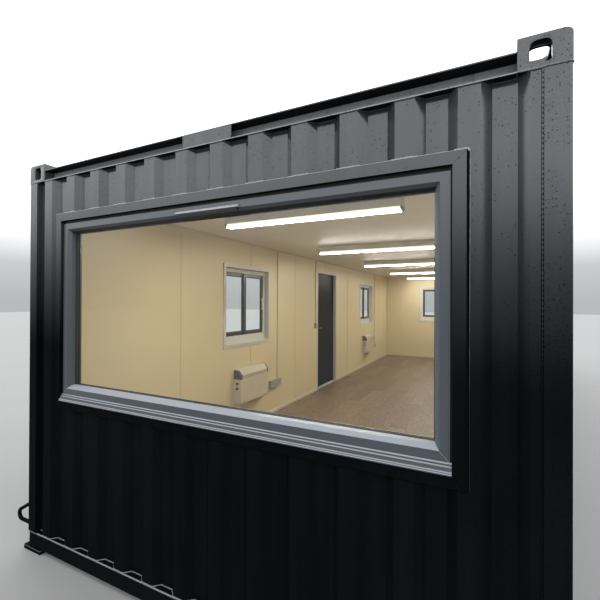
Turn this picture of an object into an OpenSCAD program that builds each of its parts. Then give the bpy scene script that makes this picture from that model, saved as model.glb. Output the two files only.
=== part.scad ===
// Cabin built like a shipping container: a welded steel box of corrugated sheet
// on four corner posts, lined and fitted out as one room with a picture window.
// Millimetres. X runs across the picture window end, -Y points out of that end, Z is up.
// The origin is at the middle of the cabin, on the ground.

/* [Cabin] */
// Width over the corner posts
cabin_w = 3048; // [3000:1:3658]
// Length over the corner posts
cabin_l = 9754; // [9600:1:12192]
// Height over the top castings
cabin_h = 2591; // [2550:1:2896]
// Wall thickness, from the face of the posts to the room
wall_t = 100; // [90:1:130]
// Height of the floor above the ground
floor_z = 140; // [134:1:150]
// Depth of the ceiling board
ceiling_t = 63; // [40:1:80]

/* [Corrugated sheet] */
// Distance from one ridge of a wall sheet to the next
wave_pitch = 230.34; // [200:0.01:278]
// Width of a ridge's flat
wave_crest = 77; // [60:1:90]
// Width of a valley's flat
wave_valley = 81; // [60:1:90]
// Depth of the waves
wave_depth = 34; // [25:1:45]
// Thickness of the sheet
sheet_t = 3; // [2:0.5:4]
// How far the ridges stand behind the face of the posts
sheet_setback = 4; // [3:1:8]
// Sideways place of the ridge nearest the middle of the end wall
front_wave_shift = 60; // [0:1:115]
// Distance from one ridge of the roof sheet to the next
roof_pitch = 209; // [180:1:230]
// Depth of the roof's waves
roof_depth = 20; // [15:1:30]

/* [Corner posts and castings] */
// Width of a post on the end wall
post_w = 82; // [70:1:100]
// Width of a post on the side wall
post_d = 160; // [140:1:176]
// Thickness of the folded post
post_t = 6; // [4:1:8]
// Width of a top casting
casting_w = 162; // [150:1:178]
// Length of a top casting along the side
casting_d = 178; // [162:1:190]
// Height of a top casting
casting_h = 118; // [110:1:124]
// Wall thickness of a casting
casting_t = 28; // [22:1:32]
// Side of the square plate under a corner
foot_w = 180; // [160:1:200]
// Thickness of that plate
foot_t = 26; // [12:1:30]

/* [Rails] */
// Height of a top rail
top_rail_h = 73; // [60:1:90]
// Depth of the channel of a top rail
top_rail_d = 70; // [50:1:75]
// Height of a bottom rail
bottom_rail_h = 100; // [90:1:104]
// Height of the bottom rails above the ground
bottom_rail_z = 30; // [26:1:30]
// Thickness of the rails' steel
rail_t = 5; // [3:0.5:6]
// Length of the plate that closes the front top rail at its middle
rail_plate_w = 307; // [200:1:400]

/* [Windows] */
// Width of the picture window's opening
picture_w = 2332; // [1800:1:2400]
// Height of the picture window's opening
picture_h = 1144; // [900:1:1200]
// Height of the picture window's opening above the ground
picture_z = 1047; // [900:1:1100]
// Sideways place of the picture window's middle
picture_x = -10; // [-20:1:20]
// Width of a side window's opening
window_w = 935; // [800:1:1100]
// Height of a side window's opening
window_h = 909; // [700:1:1000]
// Height of the side windows' openings above the ground
window_z = 1174; // [1000:1:1250]
// Distance of the front side window from the middle of the wall
front_window_x = 2393; // [2200:1:3300]
// Distance of the rear side window from the middle of the wall
rear_window_x = 2673; // [2400:1:3300]
// Width of the steel surround's face
surround_w = 48; // [35:1:60]

/* [Door] */
// Distance of the door's middle from the middle of the wall, towards the rear
door_x = 198; // [0:1:600]
// Width of the door leaf
leaf_w = 875; // [800:1:1000]
// Height of the door leaf
leaf_h = 2042; // [1950:1:2080]
// Thickness of the door leaf
leaf_t = 44; // [38:1:48]
// Width of the door frame's face
jamb_w = 52; // [40:1:60]

/* [Fittings] */
// Number of ceiling lights
light_count = 5; // [3:1:5]
// Length of a ceiling light
light_w = 1500; // [1200:1:1800]
// Distance from one ceiling light to the next
light_pitch = 1990; // [1600:1:2000]
// Distance of the first light from the picture window end
light_start = 1160; // [800:1:1300]
// Length of a wall heater
heater_w = 600; // [450:1:800]
// Height of a wall heater
heater_h = 390; // [300:1:450]

/* [Hidden] */
$fn = 48;

half_w = cabin_w / 2;
half_l = cabin_l / 2;
top_z = cabin_h - casting_h;
rail_top_z = bottom_rail_z + bottom_rail_h;
ceiling_z = top_z - ceiling_t;
sheet_back = sheet_setback + wave_depth + sheet_t;
wave_slope = (wave_pitch - wave_crest - wave_valley) / 2;
roof_z = top_z + top_rail_h;
room_w = cabin_w - 2 * wall_t;
room_l = cabin_l - 2 * wall_t;
rail_fold_r = 8;
member_h = 83;
deck_bottom = bottom_rail_z + rail_t + member_h;
cut = 400;

// Side window places: left wall's front and rear, and the rear wall
front_window = [front_window_x, window_z + window_h / 2];
rear_window = [-rear_window_x, window_z + window_h / 2];
end_window = [0, window_z + window_h / 2];
picture = [picture_x, picture_z + picture_h / 2];

// Steel surround and sill
sleeve_t = 3;
band_proud = 3;
sill_h = 41;

// Picture window: depths are measured from the face of the posts
picture_front = 12;
picture_back = wall_t - 3;
picture_face = 40;
picture_bead = 20;
bead_knee = [13, 33];
picture_glass_y = 57;
picture_glass_t = 24;
joint_side = 7.5;
joint_top = 16;
joint_y = 20;
picture_frame_w = picture_w - 2 * joint_side;
picture_frame_h = picture_h - sill_h - joint_top;
picture_frame_middle = [picture_x, picture_z + sill_h + picture_frame_h / 2];

// Side windows: two sashes that slide past each other in two tracks
side_front = 4;
side_back = 50;
side_face = 52;
track_d = 6;
outer_track_y = 8;
inner_track_y = 28;
sash_t = 18;
sash_face = 50;
sash_glass_t = 12;
glass_hold = 8;
side_frame_h = window_h - sill_h;
clear_w = window_w - 2 * side_face;
clear_h = side_frame_h - 2 * side_face;
sash_w = clear_w / 2 + sash_face / 2 + track_d;
sash_h = clear_h + 2 * track_d;
sash_dx = (clear_w - sash_w) / 2 + track_d;

// Door construction
leaf_z = floor_z + 16;
hinge_gap = 5;
lock_gap = 8;
leaf_y = 0;
stop_w = 14;
stop_gap = 6;
threshold_top = floor_z + 10;
frame_clear_w = hinge_gap + leaf_w + lock_gap;
frame_clear_top = leaf_z + leaf_h + 6;
head_h = 28;
door_frame_w = frame_clear_w + 2 * jamb_w;
door_frame_top = frame_clear_top + head_h;
door_left = -door_x - door_frame_w / 2;
door_right = -door_x + door_frame_w / 2;
hinge_x = door_left + jamb_w + hinge_gap;
hinge_y = leaf_y - 12;
hinge_zs = [leaf_z + 220, leaf_z + leaf_h / 2, leaf_z + leaf_h - 220];
knuckle_r = 9;
knuckle_h = 45;

// Wall frames: each wall is drawn with its outer face on y = 0, x to the right
// as seen from outside, and y into the building
module on_front() {
    translate([0, -half_l, 0]) children();
}

module on_rear() {
    rotate([0, 0, 180]) translate([0, -half_l, 0]) children();
}

module on_left() {
    rotate([0, 0, -90]) translate([0, -half_w, 0]) children();
}

module on_right() {
    rotate([0, 0, 90]) translate([0, -half_w, 0]) children();
}

// Four copies of a corner piece, which is drawn with its outer corner at the
// origin, x and y pointing into the building
module at_corners() {
    for (sx = [-1, 1], sy = [-1, 1])
        translate([-sx * half_w, -sy * half_l, 0])
            mirror([sx < 0 ? 1 : 0, 0, 0]) mirror([0, sy < 0 ? 1 : 0, 0]) children();
}

// A rectangle with the corner at the origin rounded
module one_round(w, h, r) {
    difference() {
        square([w, h]);
        difference() {
            square([r, r]);
            translate([r, r]) circle(r);
        }
    }
}

// A profile in y and z drawn out along x, from the middle
module along_x(run) {
    translate([-run / 2, 0, 0]) rotate([90, 0, 90]) linear_extrude(run) children();
}

// A channel with its back at x = 0 and two rounded folds
module channel_section(d, h, t, r) {
    difference() {
        intersection() {
            one_round(d, h, r);
            translate([0, h]) mirror([0, 1]) one_round(d, h, r);
        }
        translate([t, t]) square([d, h - 2 * t]);
    }
}

// A mitred frame in the xy plane round the origin: the child is its section,
// x from the outer edge towards the middle and y out of the plane
module mitred_ring(w, h, reach) {
    for (turn = [0 : 3]) {
        run = turn % 2 == 0 ? w : h;
        across = turn % 2 == 0 ? h : w;
        rotate([0, 0, 90 * turn]) translate([0, -across / 2, 0]) intersection() {
            along_x(run) children();
            translate([0, 0, -cut]) linear_extrude(2 * cut)
                polygon([[-run / 2, 0], [run / 2, 0], [run / 2 - reach, reach], [reach - run / 2, reach]]);
        }
    }
}

// A mitred frame stood up in a wall, round a middle at place = [x, z]
module window_ring(place, w, h, reach) {
    translate([place[0], 0, place[1]]) rotate([90, 0, 0]) mitred_ring(w, h, reach) children();
}

// Corrugated sheet
function wave_line(count, start, pitch, crest, slope, depth, ease, lift) = [
    for (i = [0 : count - 1], p = [
            [ease, 0],
            [crest - ease, 0],
            [crest + slope - ease, depth],
            [pitch - slope + ease, depth]
        ])
        [start + i * pitch + p[0], lift + p[1]]
];

function reversed(list) = [for (i = [len(list) - 1 : -1 : 0]) list[i]];

// The section of a pressed sheet from x0 to x1, its ridges on y = 0, with the
// middle of a ridge at x = shift
module wave_section(x0, x1, shift, pitch, crest, slope, depth, t) {
    each_side = ceil(max(abs(x0), abs(x1)) / pitch) + 1;
    start = shift - crest / 2 - each_side * pitch;
    ease = t * tan(atan(depth / slope) / 2);
    outer = wave_line(2 * each_side + 1, start, pitch, crest, slope, depth, 0, 0);
    inner = wave_line(2 * each_side + 1, start, pitch, crest, slope, depth, ease, t);
    intersection() {
        polygon(concat(outer, reversed(inner)));
        translate([x0, -1]) square([x1 - x0, depth + t + 2]);
    }
}

module wall_sheet(x0, x1, z0, shift) {
    color("#16181a") translate([0, sheet_setback, z0]) linear_extrude(top_z - z0)
        wave_section(x0, x1, shift, wave_pitch, wave_crest, wave_slope, wave_depth, sheet_t);
}

// The hole that a window's sleeve fills
module window_hole(place, w, h) {
    translate([place[0] - w / 2 - sleeve_t, -cut / 2, place[1] - h / 2 - sleeve_t])
        cube([w + 2 * sleeve_t, cut, h + 2 * sleeve_t]);
}

// Corner posts, castings and feet
module corner_posts() {
    fold_r = 12;
    color("#1a1d20") at_corners() translate([0, 0, rail_top_z])
        linear_extrude(top_z - rail_top_z) difference() {
            one_round(post_w, post_d, fold_r);
            translate([post_t, post_t]) square([post_w - 2 * post_t, post_d - 2 * post_t]);
            translate([sheet_back, sheet_back]) square([post_w, post_d]);
        }
}

// The hole in a casting's side: a round arch over two small corners
module casting_hole(w, h, r) {
    translate([0, h - w / 2]) circle(w / 2);
    translate([-w / 2, r]) square([w, h - w / 2 - r]);
    translate([-w / 2 + r, 0]) square([w - 2 * r, r]);
    for (side = [-1, 1]) translate([side * (w / 2 - r), r]) circle(r);
}

module casting_body(r) {
    intersection() {
        linear_extrude(casting_h) one_round(casting_w, casting_d, r);
        translate([0, casting_d, 0]) rotate([90, 0, 0]) linear_extrude(casting_d)
            translate([0, casting_h]) mirror([0, 1]) one_round(casting_w, casting_h, r);
        rotate([90, 0, 90]) linear_extrude(casting_w)
            translate([0, casting_h]) mirror([0, 1]) one_round(casting_d, casting_h, r);
    }
}

module top_corner_castings() {
    edge_r = 14;
    hidden_t = 18;
    bottom_t = 14;
    hole_w = 66;
    hole_h = 79;
    hole_z = 18;
    end_x = 92;
    side_y = 101;
    slot_l = 124;
    slot_w = 64;
    color("#202326") at_corners() translate([0, 0, top_z]) difference() {
        casting_body(edge_r);
        translate([casting_t, casting_t, bottom_t]) cube([
            casting_w - casting_t - hidden_t,
            casting_d - casting_t - hidden_t,
            casting_h - casting_t - bottom_t
        ]);
        translate([end_x, casting_t + 1, hole_z]) rotate([90, 0, 0])
            linear_extrude(casting_t + 2) casting_hole(hole_w, hole_h, edge_r);
        translate([-1, side_y, hole_z]) rotate([90, 0, 90])
            linear_extrude(casting_t + 2) casting_hole(hole_w, hole_h, edge_r);
        translate([end_x, side_y, casting_h - casting_t - 1]) linear_extrude(casting_t + 2) {
            square([slot_w, slot_l - slot_w], center = true);
            for (end = [-1, 1]) translate([0, end * (slot_l - slot_w) / 2]) circle(slot_w / 2);
        }
    }
}

module bottom_corner_feet() {
    block_inset = 22;
    block_t = 8;
    block_w = wall_t - block_inset;
    side_out = 34;
    end_out = 4;
    color("#1a1d20") at_corners() {
        translate([-side_out, -end_out, 0]) cube([foot_w, foot_w, foot_t]);
        translate([0, 0, foot_t]) linear_extrude(rail_top_z - foot_t) difference() {
            translate([block_inset, 0]) square([block_w, wall_t]);
            translate([block_inset + block_t, block_t])
                square([block_w - 2 * block_t, wall_t - 2 * block_t]);
        }
    }
}

// Rails
module top_rail(run) {
    translate([0, 0, top_z]) along_x(run) translate([top_rail_d, 0]) mirror([1, 0])
        channel_section(top_rail_d, top_rail_h, rail_t, rail_fold_r);
}

module front_top_rail() {
    color("#1a1d20") on_front() {
        top_rail(cabin_w - 2 * casting_w);
        translate([-rail_plate_w / 2, 0, top_z]) cube([rail_plate_w, rail_t, top_rail_h]);
    }
}

module rear_top_rail() {
    color("#1a1d20") on_rear() top_rail(cabin_w - 2 * casting_w);
}

module side_top_rails() {
    color("#1a1d20") {
        on_left() top_rail(cabin_l - 2 * casting_d);
        on_right() top_rail(cabin_l - 2 * casting_d);
    }
}

module bottom_rail(run) {
    translate([0, 0, bottom_rail_z]) along_x(run)
        channel_section(wall_t, bottom_rail_h, rail_t, rail_fold_r);
}

module end_bottom_rails() {
    color("#1a1d20") {
        on_front() bottom_rail(room_w);
        on_rear() bottom_rail(room_w);
    }
}

module side_bottom_rails() {
    color("#1a1d20") {
        on_left() bottom_rail(room_l);
        on_right() bottom_rail(room_l);
    }
}

// Floor
module floor_cross_members() {
    count = 17;
    member_w = 45;
    member_t = 4;
    end_gap = 40;
    span = cabin_w - 2 * rail_t;
    step = (room_l - 2 * end_gap) / (count - 1);
    color("#2a2422") for (i = [0 : count - 1])
        translate([0, (i - (count - 1) / 2) * step - member_w / 2, bottom_rail_z + rail_t]) along_x(span)
            difference() {
                square([member_w, member_h]);
                translate([member_t, member_t]) square([member_w, member_h - 2 * member_t]);
            }
}

module floor_deck() {
    color("#785f49") translate([-room_w / 2, -room_l / 2, deck_bottom])
        cube([room_w, room_l, floor_z - deck_bottom]);
}

// Outer skin
module front_wall_sheet() {
    end = half_w - post_w;
    on_front() difference() {
        wall_sheet(-end, end, rail_top_z, front_wave_shift);
        window_hole(picture, picture_w, picture_h);
    }
}

module rear_wall_sheet() {
    end = half_w - post_w;
    on_rear() difference() {
        wall_sheet(-end, end, rail_top_z, front_wave_shift);
        window_hole(end_window, window_w, window_h);
    }
}

module right_wall_sheet() {
    end = half_l - post_d;
    on_right() wall_sheet(-end, end, rail_top_z, 0);
}

module left_wall_front_sheet() {
    on_left() difference() {
        wall_sheet(door_right, half_l - post_d, rail_top_z, 0);
        window_hole(front_window, window_w, window_h);
    }
}

module left_wall_rear_sheet() {
    on_left() difference() {
        wall_sheet(post_d - half_l, door_left, rail_top_z, 0);
        window_hole(rear_window, window_w, window_h);
    }
}

module over_door_sheet() {
    on_left() wall_sheet(door_left, door_right, door_frame_top, 0);
}

module roof_sheet() {
    casting_gap = 4;
    field = half_l - casting_d - casting_gap;
    edge = 6;
    crest = 110;
    slope = 30;
    strip_w = cabin_w - 2 * (casting_w + casting_gap);
    color("#16181a") {
        translate([half_w - edge, 0, roof_z + roof_depth + sheet_t]) rotate([0, 180, 0])
            rotate([90, 0, 90]) linear_extrude(cabin_w - 2 * edge)
                wave_section(-field, field, 0, roof_pitch, crest, slope, roof_depth, sheet_t);
        for (end = [-1, 1]) translate([-strip_w / 2, end < 0 ? -half_l + edge : field, roof_z])
            cube([strip_w, half_l - edge - field, sheet_t]);
    }
}

// Linings
module lining(x0, x1, z0) {
    translate([x0, sheet_back, z0]) cube([x1 - x0, wall_t - sheet_back, ceiling_z - z0]);
}

module front_lining() {
    color("#c9bb94") on_front() difference() {
        lining(-room_w / 2, room_w / 2, rail_top_z);
        window_hole(picture, picture_w, picture_h);
    }
}

module rear_lining() {
    color("#c9bb94") on_rear() difference() {
        lining(-room_w / 2, room_w / 2, rail_top_z);
        window_hole(end_window, window_w, window_h);
    }
}

module right_lining() {
    end = half_l - sheet_back;
    color("#c9bb94") on_right() lining(-end, end, rail_top_z);
}

module left_front_lining() {
    color("#c9bb94") on_left() difference() {
        lining(door_right, half_l - sheet_back, rail_top_z);
        window_hole(front_window, window_w, window_h);
    }
}

module left_rear_lining() {
    color("#c9bb94") on_left() difference() {
        lining(sheet_back - half_l, door_left, rail_top_z);
        window_hole(rear_window, window_w, window_h);
    }
}

module over_door_lining() {
    color("#c9bb94") on_left() lining(door_left, door_right, door_frame_top);
}

module ceiling_board() {
    color("#b8ab88") translate([sheet_back - half_w, sheet_back - half_l, ceiling_z])
        cube([cabin_w - 2 * sheet_back, cabin_l - 2 * sheet_back, ceiling_t]);
}

// Windows
// Folded steel surround: a flat band with a lip back to the sheet and a sleeve
// through the wall
module surround(place, w, h) {
    color("#202326") window_ring(place, w + 2 * surround_w, h + 2 * surround_w, surround_w + 1)
        polygon([
            [0, -sheet_setback],
            [0, band_proud],
            [surround_w, band_proud],
            [surround_w, -wall_t],
            [surround_w - sleeve_t, -wall_t],
            [surround_w - sleeve_t, band_proud - sleeve_t],
            [sleeve_t, band_proud - sleeve_t],
            [sleeve_t, -sheet_setback]
        ]);
}

// A plain mitred ring with an eased inner edge, from one depth to another
module frame_ring(place, w, h, face, front, back) {
    ease = 3;
    window_ring(place, w, h, face + 1)
        polygon([[0, -front], [face - ease, -front], [face, -front - ease], [face, -back], [0, -back]]);
}

// A pane w wide and h high, with its outer face at depth y
module pane(place, w, h, y, t) {
    translate([place[0] - w / 2, y, place[1] - h / 2]) cube([w, t, h]);
}

module picture_window_surround() {
    on_front() surround(picture, picture_w, picture_h);
}

// Beads that hold the big pane: one of two slopes outside and a square one inside
module picture_beads() {
    w = picture_frame_w - 2 * picture_face;
    h = picture_frame_h - 2 * picture_face;
    step_in = 2;
    inner_bead = 16;
    glass_back = picture_glass_y + picture_glass_t;
    window_ring(picture_frame_middle, w, h, picture_bead + 1) {
        polygon([
            [0, -picture_front - step_in],
            [bead_knee[0], -bead_knee[1]],
            [picture_bead, -picture_glass_y],
            [0, -picture_glass_y]
        ]);
        translate([0, -picture_back]) square([inner_bead, picture_back - glass_back]);
    }
}

// Packing that fills the joint between the frame and the sleeve, set back from the face
module picture_packing() {
    depth = picture_back - joint_y;
    difference() {
        translate([picture_x - picture_w / 2, joint_y, picture_z + sill_h])
            cube([picture_w, depth, picture_h - sill_h]);
        translate([picture_x - picture_frame_w / 2, joint_y - 1, picture_z + sill_h - 1])
            cube([picture_frame_w, depth + 2, picture_frame_h + 1]);
    }
}

module picture_window_frame() {
    color("#46525c") on_front() {
        frame_ring(picture_frame_middle, picture_frame_w, picture_frame_h,
            picture_face, picture_front, picture_back);
        picture_beads();
        picture_packing();
    }
}

module picture_window_glass() {
    held_in = 2 * picture_face + 2;
    color("#9fb3b8", 0.35) on_front() pane(picture_frame_middle,
        picture_frame_w - held_in, picture_frame_h - held_in, picture_glass_y, picture_glass_t);
}

// A hood over the slots of a trickle vent: it hangs from the frame's head and is open below
module vent_hood() {
    hood_w = 394;
    hood_x = -2;
    hood_z = 2122;
    end_t = 3;
    outline = [[0, 14], [0, 30], [-8, 30], [-20, 22], [-20, 0], [-8, 0]];
    inside = [[-17, 0], [-17, 20], [-7, 26], [-3, 26], [-3, 14]];
    shell = concat([for (i = [0 : 4]) outline[i]], inside);
    color("#2a3138") on_front() translate([hood_x, picture_front, hood_z]) {
        along_x(hood_w) polygon(shell);
        for (end = [-1, 1]) translate([end * (hood_w - end_t) / 2, 0, 0]) along_x(end_t) polygon(outline);
    }
}

// Ridged sill with a nosing over the surround
module sill(place, w, h, back) {
    translate([place[0], 0, place[1] - h / 2]) along_x(w) polygon([
        [-12, 0], [-12, 4], [-9, 6], [-8, 10], [-4, 12], [1, 27], [6, 30], [7, 37],
        [picture_front, sill_h], [back, sill_h], [back, 0]
    ]);
}

module window_sills() {
    color("#46525c") {
        on_front() sill(picture, picture_w, picture_h, picture_back);
        on_left() sill(front_window, window_w, window_h, side_back);
        on_left() sill(rear_window, window_w, window_h, side_back);
        on_rear() sill(end_window, window_w, window_h, side_back);
    }
}

module side_window_surrounds() {
    on_left() surround(front_window, window_w, window_h);
    on_left() surround(rear_window, window_w, window_h);
    on_rear() surround(end_window, window_w, window_h);
}

function frame_middle(place) = [place[0], place[1] + sill_h / 2];
function sash_middle(place, side) = frame_middle(place) + [side * sash_dx, 0];

// Side window frame with a track for each sash all the way round
module side_frame(place) {
    window_ring(frame_middle(place), window_w, side_frame_h, side_face + 1) difference() {
        translate([0, -side_back]) square([side_face, side_back - side_front]);
        for (y = [outer_track_y, inner_track_y])
            translate([side_face - track_d, -y - sash_t]) square([track_d + 1, sash_t]);
    }
}

module side_window_frames() {
    color("#353d44") {
        on_left() side_frame(front_window);
        on_left() side_frame(rear_window);
        on_rear() side_frame(end_window);
    }
}

// A sash with eased inner edges and a groove that holds its pane
module sash(place, side, y) {
    ease = 2;
    skin = (sash_t - sash_glass_t) / 2;
    window_ring(sash_middle(place, side), sash_w, sash_h, sash_face + 1)
        translate([0, -y - sash_t]) difference() {
            polygon([
                [0, 0],
                [sash_face - ease, 0],
                [sash_face, ease],
                [sash_face, sash_t - ease],
                [sash_face - ease, sash_t],
                [0, sash_t]
            ]);
            translate([sash_face - glass_hold, skin]) square([glass_hold + 1, sash_glass_t]);
        }
}

// Upright pull on the room side of the inner sash
module sash_pull(place) {
    pull_w = 20;
    pull_h = 150;
    pull_d = 14;
    foot_h = 24;
    stile_x = sash_middle(place, -1)[0] - (sash_w - sash_face) / 2;
    translate([stile_x - pull_w / 2, inner_track_y + sash_t, frame_middle(place)[1] - pull_h / 2])
        rotate([90, 0, 90]) linear_extrude(pull_w) polygon([
            [0, 0],
            [pull_d - 4, 0],
            [pull_d, 6],
            [pull_d, pull_h - 6],
            [pull_d - 4, pull_h],
            [0, pull_h],
            [0, pull_h - foot_h],
            [pull_d - 6, pull_h - foot_h],
            [pull_d - 6, foot_h],
            [0, foot_h]
        ]);
}

module sash_pair(place) {
    sash(place, 1, outer_track_y);
    sash(place, -1, inner_track_y);
    sash_pull(place);
}

module side_window_sashes() {
    color("#353d44") {
        on_left() sash_pair(front_window);
        on_left() sash_pair(rear_window);
        on_rear() sash_pair(end_window);
    }
}

module sash_panes(place) {
    held = glass_hold - 1;
    skin = (sash_t - sash_glass_t) / 2;
    w = sash_w - 2 * (sash_face - held);
    h = sash_h - 2 * (sash_face - held);
    pane(sash_middle(place, 1), w, h, outer_track_y + skin, sash_glass_t);
    pane(sash_middle(place, -1), w, h, inner_track_y + skin, sash_glass_t);
}

module side_window_glass() {
    color("#9fb3b8", 0.35) {
        on_left() sash_panes(front_window);
        on_left() sash_panes(rear_window);
        on_rear() sash_panes(end_window);
    }
}

// Flat trim on the room side, with a return that lines the reveal back to the frame
module trim_ring(place, w, h, frame_back) {
    trim_w = 38;
    trim_t = 12;
    return_t = 3;
    window_ring(place, w + 2 * trim_w, h + 2 * trim_w, trim_w + return_t + 1) polygon([
        [0, -wall_t],
        [trim_w, -wall_t],
        [trim_w, -frame_back],
        [trim_w + return_t, -frame_back],
        [trim_w + return_t, -wall_t - trim_t],
        [2, -wall_t - trim_t],
        [0, -wall_t - trim_t + 2]
    ]);
}

module window_trims() {
    color("#beb9af") {
        on_front() trim_ring(picture, picture_w, picture_h, picture_back);
        on_left() trim_ring(front_window, window_w, window_h, side_back);
        on_left() trim_ring(rear_window, window_w, window_h, side_back);
        on_rear() trim_ring(end_window, window_w, window_h, side_back);
    }
}

// Door
module door_frame() {
    frame_out = 3;
    color("#5d666d") on_left() difference() {
        translate([door_left, -frame_out, rail_top_z])
            cube([door_frame_w, wall_t + frame_out, door_frame_top - rail_top_z]);
        translate([door_left + jamb_w, -cut, threshold_top])
            cube([frame_clear_w, cut + leaf_y + leaf_t + stop_gap, frame_clear_top - threshold_top]);
        translate([door_left + jamb_w + stop_w, -cut, threshold_top])
            cube([frame_clear_w - 2 * stop_w, 2 * cut, frame_clear_top - stop_w - threshold_top]);
    }
}

module door_leaf() {
    panel_inset = 110;
    panel_depth = 4;
    color("#1d2124") on_left() difference() {
        translate([hinge_x, leaf_y, leaf_z]) cube([leaf_w, leaf_t, leaf_h]);
        for (low = [panel_inset, leaf_h / 2 + 40])
            translate([hinge_x + panel_inset, leaf_y - 1, leaf_z + low])
                cube([leaf_w - 2 * panel_inset, panel_depth + 1, leaf_h / 2 - panel_inset - 40]);
    }
}

// Lever handles with their plates, one on each face of the leaf
module door_levers() {
    plate_w = 42;
    plate_h = 220;
    lever_l = 130;
    plate_x = hinge_x + leaf_w - 75;
    plate_z = leaf_z + 900;
    color("#b9bcbe") on_left() for (face = [0, 1])
        translate([0, leaf_y + leaf_t / 2, 0]) mirror([0, face, 0])
            translate([plate_x, leaf_t / 2, plate_z]) {
                translate([-plate_w / 2, 0, 0]) cube([plate_w, 6, plate_h]);
                translate([0, 6, plate_h * 0.7]) rotate([-90, 0, 0]) cylinder(h = 42, r = 9);
                translate([-lever_l, 39, plate_h * 0.7 - 9]) cube([lever_l + 9, 9, 18]);
            }
}

// Lift-off hinges: the lower half and its pin stand on the frame
module hinge_pins() {
    flag_w = 34;
    color("#8d9194") on_left() for (z = hinge_zs) translate([hinge_x, hinge_y, z]) {
        translate([0, 0, -knuckle_h]) cylinder(h = knuckle_h, r = knuckle_r);
        cylinder(h = knuckle_h - 8, r = 5);
        translate([-flag_w, knuckle_r - 5, -knuckle_h]) cube([flag_w, 5, knuckle_h]);
    }
}

module hinge_knuckles() {
    flag_w = 40;
    pin_clear = 0.3;
    lift = 1;
    color("#8d9194") on_left() for (z = hinge_zs) translate([hinge_x, hinge_y, z + lift])
        difference() {
            union() {
                cylinder(h = knuckle_h, r = knuckle_r);
                translate([0, knuckle_r - 3, 0]) cube([flag_w, 6, knuckle_h]);
            }
            translate([0, 0, -1]) cylinder(h = knuckle_h - 4, r = 5 + pin_clear);
        }
}

// Room fittings
light_h = 100;
lens_w = 62;
lens_h = 30;
light_cap_t = 20;

module at_lights() {
    for (i = [0 : light_count - 1])
        translate([0, light_start - half_l + i * light_pitch, ceiling_z - light_h]) children();
}

// The section of a lens, with its lower edges rounded
module lens_section() {
    translate([-lens_w / 2, 0]) intersection() {
        one_round(lens_w, lens_h, 12);
        translate([lens_w, 0]) mirror([1, 0]) one_round(lens_w, lens_h, 12);
    }
}

// Body between the lens and the ceiling, with a cap over each end of the lens
module light_trays() {
    half = lens_w / 2;
    color("#d8d8d4") at_lights() {
        along_x(light_w) polygon([
            [-half, lens_h],
            [-half, light_h - 20],
            [-half + 8, light_h],
            [half - 8, light_h],
            [half, light_h - 20],
            [half, lens_h]
        ]);
        for (end = [-1, 1])
            translate([end * (light_w - light_cap_t) / 2, 0, 0]) along_x(light_cap_t) lens_section();
    }
}

module light_diffusers() {
    color("#fffdf4") at_lights() along_x(light_w - 2 * light_cap_t) lens_section();
}

// Convector heater: a flat case whose top slopes to the front, with long louvres
// there and two knobs on its end
module heater(x) {
    heater_d = 110;
    heater_z = 480;
    top_d = 65;
    slope_h = 55;
    louvre_n = 6;
    louvre_h = 5;
    louvre_step = 16;
    louvre_cut = 22;
    end_w = 26;
    knob_r = 14;
    slope_z = heater_h - slope_h;
    color("#d6d0c2") translate([x, wall_t, heater_z]) {
        difference() {
            along_x(heater_w) polygon([
                [0, 0],
                [heater_d - 8, 0],
                [heater_d, 8],
                [heater_d, slope_z],
                [top_d, heater_h],
                [0, heater_h]
            ]);
            for (i = [1 : louvre_n]) {
                z = heater_h - i * louvre_step;
                y = heater_d - max(0, z - slope_z) * (heater_d - top_d) / slope_h;
                translate([end_w - heater_w / 2, y - louvre_cut / 2, z])
                    cube([heater_w - 2 * end_w, louvre_cut, louvre_h]);
            }
        }
        for (z = [175, 235]) translate([heater_w / 2, heater_d / 2, z])
            rotate([0, 90, 0]) cylinder(h = 14, r = knob_r);
    }
}

module wall_heaters() {
    on_left() heater(front_window_x);
    on_left() heater(-rear_window_x);
}

socket_dx = 636;
conduit_dx = socket_dx + 85;
socket_z = 505;
socket_h = 90;
switch_x = door_right + 50;
switch_z = 1225;
switch_w = 86;
box_d = 38;

module wall_box(x, z, w, h) {
    translate([x - w / 2, wall_t, z]) cube([w, box_d, h]);
}

module wall_sockets() {
    socket_w = 284;
    color("#e2ddd0") on_left() {
        wall_box(front_window_x - socket_dx, socket_z, socket_w, socket_h);
        wall_box(-rear_window_x - socket_dx, socket_z, socket_w, socket_h);
        wall_box(switch_x, switch_z, switch_w, switch_w);
    }
}

// Half-round cover over the cable from a box up to the ceiling
module conduit(x, z) {
    r = 10;
    base = 8;
    translate([x, wall_t, z]) linear_extrude(ceiling_z - z) {
        translate([-r, 0]) square([2 * r, base]);
        intersection() {
            translate([0, base]) circle(r);
            translate([-r, base - 1]) square([2 * r, r + 1]);
        }
    }
}

module cable_conduits() {
    color("#d5cbae") on_left() {
        conduit(front_window_x - conduit_dx, socket_z + socket_h);
        conduit(-rear_window_x - conduit_dx, socket_z + socket_h);
        conduit(switch_x, switch_z + switch_w);
    }
}

skirting_t = 14;

module skirting_strip(x0, x1) {
    translate([(x0 + x1) / 2, wall_t, floor_z]) along_x(x1 - x0)
        polygon([[0, 0], [skirting_t, 0], [skirting_t, 30], [8, 40], [0, 40]]);
}

module skirting() {
    long = room_l / 2 - skirting_t;
    color("#cfc4a3") {
        on_front() skirting_strip(-room_w / 2, room_w / 2);
        on_rear() skirting_strip(-room_w / 2, room_w / 2);
        on_right() skirting_strip(-long, long);
        on_left() skirting_strip(door_right, long);
        on_left() skirting_strip(-long, door_left);
    }
}

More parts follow.
